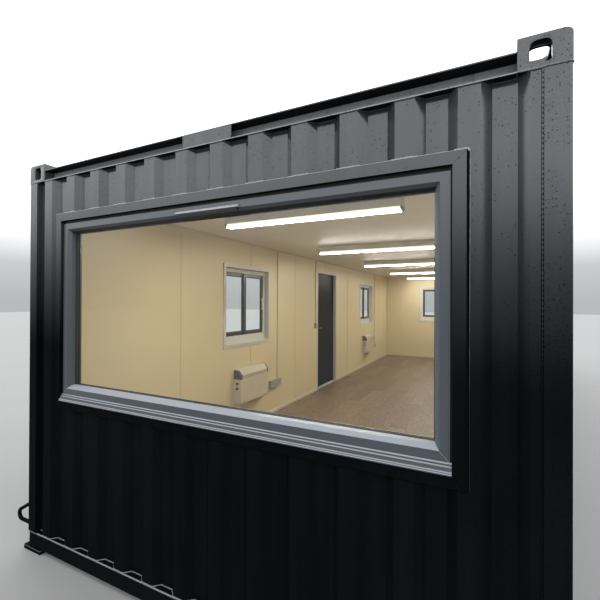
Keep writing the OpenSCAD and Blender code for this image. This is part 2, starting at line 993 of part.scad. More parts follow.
// Loops of bent bar welded to the posts' side faces: a level leg, a bend, and a leg
// that leans back up to the post and is cut to its face. The legs are a hair thinner
// than the bend and start inside it.
module lashing_loops() {
    bar_r = 12;
    leg_r = bar_r - 0.2;
    sunk = 2;
    bend_r = 36;
    bend_turn = 150;
    reach = 118;
    loop_y = 30;
    bend_z = 193;
    color("#16181a") at_corners() translate([-reach, loop_y, bend_z]) rotate([90, 0, 0]) {
        translate([-sunk, -bend_r, 0]) rotate([0, 90, 0]) cylinder(h = reach + sunk, r = leg_r);
        rotate([0, 0, -90]) mirror([0, 1, 0]) rotate_extrude(angle = bend_turn)
            translate([bend_r, 0]) circle(bar_r);
        difference() {
            rotate([0, 0, -90]) mirror([0, 1, 0]) rotate([0, 0, bend_turn])
                translate([bend_r, -sunk, 0]) rotate([-90, 0, 0]) cylinder(h = 2 * reach, r = leg_r);
            translate([reach, -cut / 2, -cut / 2]) cube(cut);
        }
    }
}

corner_posts();
top_corner_castings();
bottom_corner_feet();
front_top_rail();
rear_top_rail();
side_top_rails();
end_bottom_rails();
side_bottom_rails();
floor_cross_members();
floor_deck();
front_wall_sheet();
rear_wall_sheet();
right_wall_sheet();
left_wall_front_sheet();
left_wall_rear_sheet();
over_door_sheet();
roof_sheet();
front_lining();
rear_lining();
right_lining();
left_front_lining();
left_rear_lining();
over_door_lining();
ceiling_board();
picture_window_surround();
picture_window_frame();
picture_window_glass();
vent_hood();
window_sills();
side_window_surrounds();
side_window_frames();
side_window_sashes();
side_window_glass();
window_trims();
door_frame();
door_leaf();
door_levers();
hinge_pins();
hinge_knuckles();
light_trays();
light_diffusers();
wall_heaters();
wall_sockets();
cable_conduits();
skirting();
lashing_loops();
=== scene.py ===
# %% [markdown]
# # A container-style cabin
# This lesson dresses a steel cabin: satin black paint on corrugated sheet, dark plastic window
# frames, and one lined room that shows through a big window. The construction is loaded as it
# is, and every cell adds a finish or a small part to it.

# %% Load the construction
import math

import bmesh
import bpy
from mathutils import Matrix, Vector


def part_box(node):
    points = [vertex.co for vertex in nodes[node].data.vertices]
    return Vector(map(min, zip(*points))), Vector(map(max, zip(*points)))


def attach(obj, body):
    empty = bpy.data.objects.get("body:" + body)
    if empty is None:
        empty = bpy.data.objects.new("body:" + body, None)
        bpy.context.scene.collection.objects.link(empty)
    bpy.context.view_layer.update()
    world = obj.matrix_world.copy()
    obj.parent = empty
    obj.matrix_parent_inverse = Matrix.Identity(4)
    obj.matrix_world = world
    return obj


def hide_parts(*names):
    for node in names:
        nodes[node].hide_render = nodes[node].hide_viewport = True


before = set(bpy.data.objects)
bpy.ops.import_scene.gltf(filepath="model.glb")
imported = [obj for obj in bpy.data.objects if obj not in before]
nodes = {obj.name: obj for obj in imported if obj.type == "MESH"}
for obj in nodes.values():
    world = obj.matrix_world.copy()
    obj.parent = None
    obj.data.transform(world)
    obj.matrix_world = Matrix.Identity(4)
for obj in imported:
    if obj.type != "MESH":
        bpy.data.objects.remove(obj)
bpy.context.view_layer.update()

# %% [markdown]
# ## Driving sizes
# The steel frame fixes most other places, so the post faces, the room and most openings are read
# from the loaded parts. A size that no part shows by itself is written out as a number.

# %% Driving sizes
posts_low, posts_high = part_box("corner_posts")
HALF_W = posts_high.x
HALF_L = posts_high.y
POST_FOOT_Z = posts_low.z
POST_TOP_Z = posts_high.z
deck_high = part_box("floor_deck")[1]
ROOM_X = deck_high.x
ROOM_Y = deck_high.y
WALL_T = HALF_W - ROOM_X
FLOOR_Z = deck_high.z
CEILING_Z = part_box("ceiling_board")[0].z
FRONT_Y = -HALF_L
print("room", [round(v, 3) for v in (2 * ROOM_X, 2 * ROOM_Y, CEILING_Z - FLOOR_Z)])

# %% [markdown]
# ## Places on a wall
# A wall is described as seen from outside: x runs to the right along it, y goes into the
# building from the face of the posts, and z is up. One function turns such a place into the
# cabin's own frame, so every bead, seal and strip is drawn once and fits all four walls.


# %% Walls
def on_wall(wall, x, y, z):
    """The point at x along a wall, y behind its face, at height z."""
    if wall == "front":
        return Vector((x, y - HALF_L, z))
    if wall == "rear":
        return Vector((-x, HALF_L - y, z))
    if wall == "left":
        return Vector((y - HALF_W, -x, z))
    return Vector((HALF_W - y, x, z))


SURROUND_W = 0.048
SILL_H = 0.041
PICTURE_FACE = 0.040
JOINT_SIDE = 0.0075
JOINT_TOP = 0.016
door_low, door_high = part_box("door_frame")
DOOR_LEFT, DOOR_RIGHT, DOOR_TOP = -door_high.y, -door_low.y, door_high.z

picture_low, picture_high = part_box("picture_window_surround")
picture_middle = (picture_low + picture_high) / 2
picture_size = picture_high - picture_low - Vector((1, 1, 1)) * 2 * SURROUND_W
PICTURE = ("front", picture_middle.x, picture_middle.z, picture_size.x, picture_size.z)
PICTURE_TOP = PICTURE[2] + PICTURE[4] / 2
side_low, side_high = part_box("side_window_surrounds")
SIDE_W = 2 * side_high.x - 2 * SURROUND_W
SIDE_H = side_high.z - side_low.z - 2 * SURROUND_W
SIDE_Z = (side_low.z + side_high.z) / 2
FRONT_WINDOW_X = -side_low.y - SURROUND_W - SIDE_W / 2
REAR_WINDOW_X = -2.673
SIDE_WINDOWS = [
    ("left", FRONT_WINDOW_X, SIDE_Z, SIDE_W, SIDE_H),
    ("left", REAR_WINDOW_X, SIDE_Z, SIDE_W, SIDE_H),
    ("rear", 0.0, SIDE_Z, SIDE_W, SIDE_H),
]
print("picture window", [round(v, 3) for v in PICTURE[1:]])
print("side windows", [(w[0], *(round(v, 3) for v in w[1:])) for w in SIDE_WINDOWS])

# %% [markdown]
# ## The camera
# The photographer stood to the right of the window's middle and looked left along the cabin.
# The view is level to a quarter of a degree, so the posts stay upright and the rails run to
# two far points. The camera is placed from its own right, up and forward directions.

# %% Camera
CAMERA_PLACE = Vector((1.2803, FRONT_Y - 1.5045, 1.6836))
CAMERA_YAW = math.radians(26.454)
CAMERA_PITCH = math.radians(0.2315)
CAMERA_ROLL = math.radians(0.2362)
CAMERA_LENS = 22.911


def aim_camera():
    """A camera at the photograph's place, turned by yaw, pitch and roll."""
    flat = Vector((-math.sin(CAMERA_YAW), math.cos(CAMERA_YAW), 0))
    right = Vector((math.cos(CAMERA_YAW), math.sin(CAMERA_YAW), 0))
    forward = flat * math.cos(CAMERA_PITCH) + Vector((0, 0, math.sin(CAMERA_PITCH)))
    up = right.cross(forward)
    right, up = (
        right * math.cos(CAMERA_ROLL) + up * math.sin(CAMERA_ROLL),
        up * math.cos(CAMERA_ROLL) - right * math.sin(CAMERA_ROLL),
    )
    data = bpy.data.cameras.new("camera")
    data.lens = CAMERA_LENS
    data.sensor_width = 36
    camera = bpy.data.objects.new("camera", data)
    bpy.context.scene.collection.objects.link(camera)
    turn = Matrix((right, up, -forward)).transposed().to_4x4()
    camera.matrix_world = Matrix.Translation(CAMERA_PLACE) @ turn
    bpy.context.scene.camera = camera


aim_camera()

# %% [markdown]
# ## Sums on sockets
# Finishes and Geometry Nodes trees are mostly arithmetic. A small class wraps a socket, so that
# a Python expression adds the Math nodes, and one method makes any other node.


# %% Wires and graphs
def operator(operation, turned=False):
    """One of Python's operators, as a Math node."""
    def apply(self, other):
        return self.maths(operation, *((other, self) if turned else (self, other)))
    return apply


class Wire:
    """A socket that can stand in a sum."""

    def __init__(self, graph, socket):
        self.graph = graph
        self.socket = socket

    def maths(self, operation, first, second=0.0):
        return self.graph.node("ShaderNodeMath", {"operation": operation}, {0: first, 1: second})

    __add__ = __radd__ = operator("ADD")
    __mul__ = __rmul__ = operator("MULTIPLY")
    __sub__ = operator("SUBTRACT")
    __rsub__ = operator("SUBTRACT", turned=True)
    __truediv__ = operator("DIVIDE")
    __gt__ = operator("GREATER_THAN")
    __lt__ = operator("LESS_THAN")
    __mod__ = operator("FLOORED_MODULO")

    def floor(self):
        return self.maths("FLOOR", self)

    def size(self):
        return self.maths("ABSOLUTE", self)

    def clamped(self):
        return self.graph.node("ShaderNodeClamp", {}, {0: self})


class Graph:
    """A node tree that is built in Python."""

    def node(self, kind, settings, values, out=0):
        """A node of that kind: settings are set first, then the values or links of its sockets."""
        made = self.tree.nodes.new(kind)
        for name, value in settings.items():
            if name == "stops":
                self.set_stops(made.color_ramp, value)
            else:
                setattr(made, name, value)
        for name, value in values.items():
            if isinstance(value, Wire):
                self.tree.links.new(value.socket, made.inputs[name])
            else:
                made.inputs[name].default_value = value
        return Wire(self, made.outputs[out]) if len(made.outputs) else None

    @staticmethod
    def set_stops(ramp, stops):
        while len(ramp.elements) < len(stops):
            ramp.elements.new(0.5)
        for element, (at, colour) in zip(ramp.elements, stops):
            element.position = at
            element.color = (*colour, 1)


class Finish(Graph):
    """One material, built from nodes on Object coordinates."""

    def __init__(self, name):
        self.material = bpy.data.materials.new(name)
        self.material.use_nodes = True
        self.tree = self.material.node_tree
        self.tree.nodes.clear()
        self.place = self.node("ShaderNodeTexCoord", {}, {}, "Object")

    def axes(self):
        """The x, y and z of a point, as three wires."""
        split = self.tree.nodes.new("ShaderNodeSeparateXYZ")
        self.tree.links.new(self.place.socket, split.inputs[0])
        return [Wire(self, out) for out in split.outputs]

    def noise(self, scale, detail=3.0, stretch=None):
        place = self.place
        if stretch is not None:
            place = self.node("ShaderNodeMapping", {}, {"Vector": self.place, "Scale": stretch})
        values = {"Vector": place, "Scale": scale, "Detail": detail}
        return self.node("ShaderNodeTexNoise", {}, values)

    def blend(self, factor, first, second):
        """A colour between two, by a factor."""
        first, second = [c if isinstance(c, Wire) else (*c, 1) for c in (first, second)]
        values = {0: factor, 6: first, 7: second}
        return self.node("ShaderNodeMix", {"data_type": "RGBA"}, values, 2)

    def ramp(self, value, stops):
        return self.node("ShaderNodeValToRGB", {"stops": stops}, {0: value})

    def rise(self, value, low, high):
        """0 below low, 1 above high and a soft step between."""
        settings = {"interpolation_type": "SMOOTHSTEP"}
        return self.node("ShaderNodeMapRange", settings, {0: value, 1: low, 2: high})

    def facing(self, axis):
        """The part of a face's direction along an axis: for z, 0 on a wall and 1 on a level top."""
        normal = self.node("ShaderNodeNewGeometry", {}, {}, "Normal")
        return self.node("ShaderNodeSeparateXYZ", {}, {0: normal}, axis)

    def bump(self, height, strength, distance):
        values = {"Height": height, "Strength": strength, "Distance": distance}
        return self.node("ShaderNodeBump", {}, values)

    def surface(self, colour, roughness, normal=None, **fixed):
        """The Principled surface, joined to the output."""
        colour = colour if isinstance(colour, Wire) else (*colour, 1)
        values = {"Base Color": colour, "Roughness": roughness}
        if normal is not None:
            values["Normal"] = normal
        for name, value in fixed.items():
            values[name.replace("_", " ")] = value
        self.output(self.node("ShaderNodeBsdfPrincipled", {}, values))
        return self.material

    def output(self, shader):
        self.node("ShaderNodeOutputMaterial", {}, {0: shader})


# %% Dressing the loaded parts
BLACK = (0.001, 0.001, 0.001)
ROOM_WHITE = (0.62, 0.61, 0.57)


def scaled(colour, factor):
    """A colour made darker or paler."""
    return tuple(c * factor for c in colour)


def dress(names, material):
    """Gives loaded parts a finish through their own slots."""
    for name in names:
        for slot in nodes[name].material_slots:
            slot.material = material


# %% [markdown]
# ## Satin black paint
# The whole shell is sprayed with one black topcoat. It is never even: it is a little paler where
# dust sits, it has the fine dimples of a sprayed coat, and it was wet when it was seen. Tone and
# gloss come from slow noise, the dimples from fast noise in a bump, and the beads of rain from the
# cells of a Voronoi pattern. The gloss is a clear coat, strong under the roof where the paint
# mirrors the sky and weak low down, where the real one mirrors dark wet ground. The colour also
# carries a painted reflection: it runs from nearly black low down to a pale grey up high, standing
# for the dark ground and the bright sky. Faces that look down get painted shade. Marks are second
# colours where a sum of positions says so. Along the lips of the rails, on the corner of the sill
# rails and on the feet, a thin bright line is a painted highlight of the water lying there. The webs
# of the top rails get a painted reflection of the sky.

# %% Painted steel
COAT_LOW_Z = 1.35
COAT_HIGH_Z = 2.32
COAT_LEAST = 0.03
DROP_SCALE = 95.0
FINE_DROP_SCALE = 210.0
# Colours of painted highlights and of a painted sky reflection, where water on edges and on the
# rails' webs mirrors the sky.
PAINTED_WET_HIGHLIGHT = (0.22, 0.225, 0.23)
PAINTED_WEB_REFLECTION = (0.34, 0.345, 0.355)
PAINTED_FOOT_HIGHLIGHT = (0.12, 0.12, 0.115)
LIP_LOW, LIP_HIGH = 0.0005, 0.0055
WEB_LOW, WEB_HIGH = 0.0065, 0.0672
BAND_MITRE_W = 0.0024


def rain_beads(finish, scale, share):
    """Round bumps on a share of the cells of a Voronoi pattern, in loose groups, from 0 to 1."""
    cells = finish.tree.nodes.new("ShaderNodeTexVoronoi")
    finish.tree.links.new(finish.place.socket, cells.inputs["Vector"])
    cells.inputs["Scale"].default_value = scale
    away = Wire(finish, cells.outputs["Distance"])
    pick = finish.node("ShaderNodeSeparateColor", {}, {0: Wire(finish, cells.outputs["Color"])})
    groups = finish.rise(finish.noise(11.0, 4.0), 0.38, 0.54)
    return (1 - away * 2.7).clamped() * (pick < groups * share)


def painted_steel(name, colour, gloss, rain, marks=None):
    """The black topcoat with its rain and its marks. It is glossier with height, and a painted
    reflection makes its colour paler with height.
    """
    finish = Finish(name)
    x, y, z = finish.axes()
    streaks = finish.noise(3.0, 4.0, (6.0, 6.0, 0.5))
    tone = (finish.noise(1.7, 5.0) * 0.6 + streaks * 0.4).clamped()
    height = finish.rise(z, COAT_LOW_Z, COAT_HIGH_Z)
    # deep and pale are the two ends of a painted reflection: nearly black low down, where dark wet
    # ground is mirrored, and pale up high, where the sky is mirrored. deep is also the colour of the
    # rain beads.
    deep = scaled(colour, 0.15)
    pale = scaled(colour, 6.0)
    base = finish.blend(height * 0.9 + tone * 0.1, deep, finish.blend(tone, colour, pale))
    drops = rain_beads(finish, DROP_SCALE, rain)
    fine_drops = rain_beads(finish, FINE_DROP_SCALE, rain * 1.4)
    drops = (drops + fine_drops * 0.7).clamped()
    # Painted shade: faces that look down are made nearly black and lose their gloss.
    shade = finish.rise(0 - finish.facing("Z"), 0.3, 0.8)
    base = finish.blend(shade * 0.9, base, scaled(colour, 0.1))
    if marks is not None:
        for where, mark in marks(x, y, z):
            base = finish.blend(where, base, mark)
    base = finish.blend(drops * 0.95, base, deep)
    rough = gloss + tone * 0.14 - drops * 0.2
    relief = finish.bump(finish.noise(260.0, 2.0) * 0.06 + drops, 0.6, 0.0014)
    coat = (height * (1 - COAT_LEAST) + COAT_LEAST) * (1 - drops * 0.85) * (1 - shade * 0.9)
    return finish.surface(
        base, rough, relief,
        Specular_IOR_Level=0.0, Coat_Weight=coat, Coat_Roughness=0.14, Coat_IOR=1.65,
    )


def between(value, low, high):
    """1 where a value lies between two others."""
    return (value > low) * (value < high)


def frame_painted_highlights(x, y, z):
    """Painted highlights along the rails' lips and corners and on the feet, and a painted reflection
    of the sky on the webs of the top rails.
    """
    lip = between(z, POST_TOP_Z + LIP_LOW, POST_TOP_Z + LIP_HIGH)
    behind = (x.size() < HALF_W - 0.02) * (y.size() < HALF_L - 0.02)
    web = between(z, POST_TOP_Z + WEB_LOW, POST_TOP_Z + WEB_HIGH) * behind
    sill_corner = between(z, POST_FOOT_Z - 0.0055, POST_FOOT_Z - 0.0004)
    plate = between(z, 0.020, 0.0258)
    return [(lip, PAINTED_WET_HIGHLIGHT), (web, PAINTED_WEB_REFLECTION), (sill_corner, PAINTED_WET_HIGHLIGHT), (plate, PAINTED_FOOT_HIGHLIGHT)]


def casting_painted_highlight(x, y, z):
    """A painted highlight: a wet line along a casting's lower edge."""
    return [(between(z, POST_TOP_Z + LIP_LOW, POST_TOP_Z + 0.005), PAINTED_WET_HIGHLIGHT)]


def mitre_line(x, z, middle, size, width):
    """1 on the mitres of a frame of this outer size, or else 0."""
    from_side = (x - middle[0]).size() - size[0] / 2
    from_end = (z - middle[1]).size() - size[1] / 2
    return (from_side - from_end).size() < width


def surround_marks(x, y, z):
    """The welded mitres of the band round the picture window."""
    size = [PICTURE[i] + 2 * SURROUND_W for i in (3, 4)]
    line = mitre_line(x, z, PICTURE[1:3], size, BAND_MITRE_W) * (y < FRONT_Y + 0.01)
    return [(line, BLACK)]


frame_paint = painted_steel("frame_paint", (0.0145, 0.0160, 0.0178), 0.36, 0.55, frame_painted_highlights)
sheet_paint = painted_steel("sheet_paint", (0.0125, 0.0138, 0.0152), 0.40, 0.30)
casting_paint = painted_steel("casting_paint", (0.018, 0.0195, 0.0212), 0.42, 0.70, casting_painted_highlight)
surround_paint = painted_steel(
    "surround_paint", (0.0090, 0.0105, 0.0122), 0.34, 0.05, surround_marks
)
STEEL_FRAME = [
    "corner_posts", "front_top_rail", "rear_top_rail", "side_top_rails", "end_bottom_rails",
    "side_bottom_rails", "bottom_corner_feet", "lashing_loops",
]
STEEL_SHEETS = [
    "front_wall_sheet", "rear_wall_sheet", "right_wall_sheet", "left_wall_front_sheet",
    "left_wall_rear_sheet", "over_door_sheet", "roof_sheet",
]
dress(STEEL_FRAME, frame_paint)
dress(STEEL_SHEETS, sheet_paint)
dress(["top_corner_castings"], casting_paint)
dress(["picture_window_surround", "side_window_surrounds"], surround_paint)

# %% [markdown]
# ## Plastic window frames
# The frames are anthracite plastic with a slight embossed grain along each bar. The grain is noise
# stretched along the level bars and along the upright ones. A frame's corners are cut at 45 degrees
# and welded, which leaves a fine line, dark at the top and pale at the bottom, where the pale is a
# painted highlight of water lying in it. It shows where a point is as far in from the frame's side
# as from its top or bottom, so the line is drawn from that difference. Light and shade are painted
# into the colour as well: faces that look up get a painted highlight, faces that look down get
# painted shade, and faces that look towards -x get painted light.

# %% Window plastic
PACKING_SIDE = PICTURE[3] / 2 - JOINT_SIDE
PACKING_TOP = PICTURE_TOP - 0.018
FRAME_H = PICTURE[4] - SILL_H - JOINT_TOP
MITRE_W = 0.0009
HEAD_BEAD_Z = PICTURE_TOP - 0.066
FRAME_D = 0.05
ROOM_SIDE = 0.0465
STEP_LOW, STEP_HIGH = 0.0135, 0.0262
FRAME_COLOUR = (0.044, 0.054, 0.064)
SASH_COLOUR = (0.030, 0.036, 0.042)
PAINTED_TOP_HIGHLIGHT = (0.30, 0.325, 0.36)
PICTURE_SILL_Z = PICTURE[2] - PICTURE[4] / 2
SIDE_SILL_Z = SIDE_Z - SIDE_H / 2
VENT_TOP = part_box("vent_hood")[1].z


def window_plastic(name, colour, gloss, extra):
    """Grained plastic, with a painted highlight on faces that look up, painted shade on faces that
    look down and painted light on faces that look towards -x. extra adds its own marks to the
    colour, the relief and the matt part.
    """
    finish = Finish(name)
    x, y, z = finish.axes()
    film = finish.rise(z, 1.5, PACKING_TOP - 0.04) * 0.6
    level = finish.noise(40.0, 3.0, (0.15, 1.0, 6.0))
    grain = (level + finish.noise(40.0, 3.0, (6.0, 1.0, 0.15))) * 0.5
    slow = finish.noise(2.5, 3.0)
    base = finish.blend(slow, colour, scaled(colour, 1.35))
    # Painted highlight: faces that look up are made pale.
    base = finish.blend(finish.rise(finish.facing("Z"), 0.12, 0.5), base, PAINTED_TOP_HIGHLIGHT)
    # Painted shade: faces that look down are made nearly black and matt.
    matt_faces = finish.rise(0 - finish.facing("Z"), 0.2, 0.6)
    base = finish.blend(matt_faces, base, scaled(colour, 0.12))
    # Painted light: faces that look towards -x are made paler and matt.
    painted_side_light = finish.rise(0 - finish.facing("X"), 0.25, 0.6)
    base = finish.blend(painted_side_light, base, scaled(colour, 1.9))
    matt_faces = (matt_faces + painted_side_light).clamped()
    base, relief, joint = extra(finish, base, grain)
    matt_faces = (matt_faces + joint).clamped()
    rough = gloss + slow * 0.12 + matt_faces * 0.3
    film = film * (1 - matt_faces)
    relief = finish.bump(relief, 0.25, 0.0006)
    return finish.surface(base, rough, relief, Coat_Weight=film, Coat_Roughness=0.2)


def picture_frame_marks(finish, base, grain):
    """Black packing in the joint round the frame, and its mitres, whose lower halves are a painted
    highlight. The head bar is painted paler as a painted reflection of the sky.
    """
    x, y, z = finish.axes()
    joint = (((x - PICTURE[1]).size() > PACKING_SIDE) + (z > PACKING_TOP)).clamped()
    middle = (PICTURE[1], PACKING_TOP - FRAME_H / 2)
    line = mitre_line(x, z, middle, (2 * PACKING_SIDE, FRAME_H), MITRE_W)
    line = line * (y < FRONT_Y + FRAME_D)
    # The mitre line is black in the upper half and pale in the lower half, where the pale is a
    # painted highlight of water in it.
    tone = finish.blend(z > middle[1], (0.34, 0.37, 0.40), (0.008, 0.010, 0.012))
    marked = finish.blend(line * 0.8, base, tone)
    # Painted reflection: the head bar of the frame is painted paler, where it mirrors the sky.
    head = (z > HEAD_BEAD_Z) * (y < FRONT_Y + FRAME_D) * (z < PACKING_TOP)
    marked = finish.blend(head, marked, scaled(FRAME_COLOUR, 1.25))
    return finish.blend(joint, marked, BLACK), grain - line * 1.5, joint


def sash_marks(finish, base, grain):
    """Pale pulls on the room side of the inner sashes."""
    x, y, z = finish.axes()
    inside = (x.size() < HALF_W - ROOM_SIDE) * (y.size() < HALF_L - ROOM_SIDE)
    return finish.blend(inside, base, ROOM_WHITE), grain, inside


def sill_marks(finish, base, grain):
    """The sill's upright step gets painted shade between its wet edges, which carry the painted
    highlight of level faces, and its room side is pale.
    """
    x, y, z = finish.axes()
    picture_step = between(z - PICTURE_SILL_Z, STEP_LOW, STEP_HIGH)
    step = (picture_step + between(z - SIDE_SILL_Z, STEP_LOW, STEP_HIGH)).clamped()
    inside = (x.size() < HALF_W - 0.03) * (y.size() < HALF_L - 0.03)
    # Painted shade on the sill's upright step.
    base = finish.blend(step, base, scaled(FRAME_COLOUR, 0.8))
    return finish.blend(inside, base, ROOM_WHITE), grain, inside


def vent_marks(finish, base, grain):
    """A painted highlight on the wet top slope, over a mouth in painted shade."""
    x, y, z = finish.axes()
    # Painted light: pale grey on the top slope and nearly black below it.
    slope = finish.rise(z, VENT_TOP - 0.016, VENT_TOP - 0.012)
    return finish.blend(slope, (0.0015, 0.0015, 0.002), (0.40, 0.42, 0.45)), grain, 1 - slope


picture_plastic = window_plastic("picture_plastic", FRAME_COLOUR, 0.26, picture_frame_marks)
sill_plastic = window_plastic("sill_plastic", FRAME_COLOUR, 0.26, sill_marks)
sash_plastic = window_plastic("sash_plastic", SASH_COLOUR, 0.30, sash_marks)
vent_plastic = window_plastic("vent_plastic", (0.010, 0.012, 0.015), 0.25, vent_marks)
dress(["picture_window_frame"], picture_plastic)
dress(["window_sills"], sill_plastic)
dress(["side_window_frames", "side_window_sashes"], sash_plastic)
dress(["vent_hood"], vent_plastic)

# %% [markdown]
# ## Window glass
# A pane is mostly seen through, with a reflection that grows at low angles. A mix of a clear
# and a glossy shader by Fresnel shows that, and lets the room's own light through with no
# noise. Only the face that a ray enters by reflects: on its way out of a solid pane a slanting
# ray would otherwise be mirrored whole and leave a dark patch.


# %% Glass
def window_glass():
    finish = Finish("window_glass")
    ripple = finish.bump(finish.noise(1.2, 1.0), 0.05, 0.002)
    shine = {"Color": (0.95, 0.97, 1.0, 1), "Roughness": 0.02, "Normal": ripple}
    gloss = finish.node("ShaderNodeBsdfGlossy", {}, shine)
    clear = finish.node("ShaderNodeBsdfTransparent", {}, {"Color": (0.97, 0.985, 0.98, 1)})
    edge = finish.node("ShaderNodeFresnel", {}, {"IOR": 1.45})
    leaving = finish.node("ShaderNodeNewGeometry", {}, {}, "Backfacing")
    both = {0: edge * (1 - leaving), 1: clear, 2: gloss}
    finish.output(finish.node("ShaderNodeMixShader", {}, both))
    return finish.material


dress(["picture_window_glass", "side_window_glass"], window_glass())

# %% [markdown]
# ## Faced boards
# The walls and the ceiling are cream faced boards. They are nearly flat in tone, with a faint
# cloudiness and a light egg-shell texture, and slightly greyer low down where they get knocked.


# %% Boards
def faced_board(name, colour, dirty):
    """A board that is cloudy all over and dirtier near the floor."""
    finish = Finish(name)
    cloud = finish.noise(1.3, 4.0)
    x, y, z = finish.axes()
    low = 1 - finish.rise(z, FLOOR_Z, FLOOR_Z + 0.9)
    base = finish.blend(cloud * 0.5 + low * 0.25, colour, dirty)
    relief = finish.bump(finish.noise(180.0, 2.0), 0.12, 0.0006)
    return finish.surface(base, 0.36 + cloud * 0.1, relief)


wall_board = faced_board("wall_board", (0.68, 0.585, 0.385), (0.62, 0.525, 0.335))
ceiling_face = faced_board("ceiling_face", (0.82, 0.80, 0.76), (0.75, 0.73, 0.69))
dress(
    ["front_lining", "rear_lining", "right_lining", "left_front_lining", "left_rear_lining",
     "over_door_lining"],
    wall_board,
)
dress(["ceiling_board"], ceiling_face)

# %% [markdown]
# ## Plank floor
# The floor is wood-look vinyl in planks that run down the cabin. A plank's number comes from
# its row across and its place along, shifted on each row, and a white noise texture turns the
# number into that plank's own tone. Grain is noise stretched along the plank.

# %% Floor
PLANK_W = 0.18
PLANK_L = 1.22


def plank_floor():
    finish = Finish("plank_floor")
    x, y, z = finish.axes()
    row = (x / PLANK_W).floor()
    along = y / PLANK_L + row * 0.37
    number = finish.node("ShaderNodeCombineXYZ", {}, {0: row, 1: along.floor()})
    chance = finish.node("ShaderNodeTexWhiteNoise", {"noise_dimensions": "3D"}, {"Vector": number})
    grain = finish.noise(9.0, 8.0, (14.0, 0.9, 1.0))
    fine = finish.noise(26.0, 5.0, (5.0, 0.8, 1.0))
    tone = (chance * 0.10 + grain * 0.36 + fine * 0.54).clamped()
    wood = finish.ramp(tone, [
        (0.32, (0.070, 0.045, 0.030)),
        (0.44, (0.135, 0.088, 0.056)),
        (0.52, (0.195, 0.132, 0.086)),
        (0.66, (0.300, 0.210, 0.142)),
    ])
    side = ((x / PLANK_W) % 1 - 0.5).size()
    end = (along % 1 - 0.5).size()
    groove = ((side > 0.492) + (end > 0.4988)).clamped()
    base = finish.blend(groove * 0.5, wood, (0.05, 0.035, 0.025))
    relief = finish.bump((1 - groove) * 0.8 + fine * 0.2, 0.3, 0.001)
    return finish.surface(base, 0.38 + grain * 0.15, relief)


dress(["floor_deck"], plank_floor())

# %% [markdown]
# ## Fittings
# Plain moulded plastic and enamel still vary a little, so each small finish is the same recipe
# of a slow change in tone and a fine bump, with its own colour and gloss. A mark is a second
# colour where a sum of positions says so, such as the dark end caps of a heater.


# %% Small finishes
def moulded(name, colour, gloss, grain=150.0, metallic=0.0, shine=0.5, marks=None):
    """A small finish: nearly one colour, with a fine grain and its own marks."""
    finish = Finish(name)
    slow = finish.noise(6.0, 3.0)
    base = finish.blend(slow, colour, scaled(colour, 0.86))
    if marks is not None:
        for where, mark in marks(*finish.axes()):
            base = finish.blend(where, base, mark)
    relief = finish.bump(finish.noise(grain, 2.0), 0.15, 0.0004)
    rough = gloss + slow * 0.1
    return finish.surface(base, rough, relief, Metallic=metallic, Specular_IOR_Level=shine)


HEATER_HALF = 0.3
HEATER_CAP = 0.026
heater_low, heater_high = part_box("wall_heaters")


def heater_marks(x, y, z):
    """Dark end caps beside the louvres, and dark knobs on one end."""
    front_middle = -FRONT_WINDOW_X
    rear_middle = -REAR_WINDOW_X
    away = (y - front_middle).size() * (y < 0) + (y - rear_middle).size() * (y > 0)
    cap = (away > HEATER_HALF - HEATER_CAP) * (z > heater_high.z - 0.106)
    knob = away > HEATER_HALF + 0.0005
    return [(cap, (0.10, 0.10, 0.095)), (knob, (0.03, 0.03, 0.03))]


def light_marks(x, y, z):
    """Small grey caps at the ends of a light."""
    return [((x.size() > 0.731) * (z < CEILING_Z - 0.07), (0.30, 0.30, 0.29))]


def door_frame_marks(x, y, z):
    """The room side of the door frame is white."""
    return [(x > 0.032 - HALF_W, (0.50, 0.49, 0.46))]


pale_trim = moulded("pale_trim", (0.62, 0.60, 0.55), 0.30)
cream_plastic = moulded("cream_plastic", (0.62, 0.55, 0.40), 0.35)
white_plastic = moulded("white_plastic", (0.74, 0.72, 0.66), 0.28, marks=light_marks)
heater_enamel = moulded("heater_enamel", (0.60, 0.55, 0.44), 0.32, marks=heater_marks)
door_grey = moulded("door_grey", (0.155, 0.180, 0.205), 0.34, marks=door_frame_marks)
door_black = moulded("door_black", (0.0025, 0.0035, 0.0034), 0.26, shine=0.04)
dark_metal = moulded("dark_metal", (0.16, 0.16, 0.155), 0.34, 240.0, 1.0)
dark_rubber = moulded("dark_rubber", (0.010, 0.010, 0.011), 0.50)
spacer_metal = moulded("spacer_metal", (0.020, 0.021, 0.022), 0.50, 240.0)
grey_sealant = moulded("grey_sealant", (0.34, 0.35, 0.365), 0.30, 120.0)
# A grey sealant whose colour fades to black lower down: the pale at the top is a painted reflection
# of the sky.
sealant_with_painted_fade = moulded(
    "sealant_with_painted_fade", (0.30, 0.31, 0.325), 0.30, 120.0,
    marks=lambda x, y, z: [(((2.25 - z) / 0.9).clamped(), (0.006, 0.007, 0.007))],
)
black_gap = moulded("black_gap", (0.0012, 0.0012, 0.0014), 0.60, 120.0, shine=0.05)
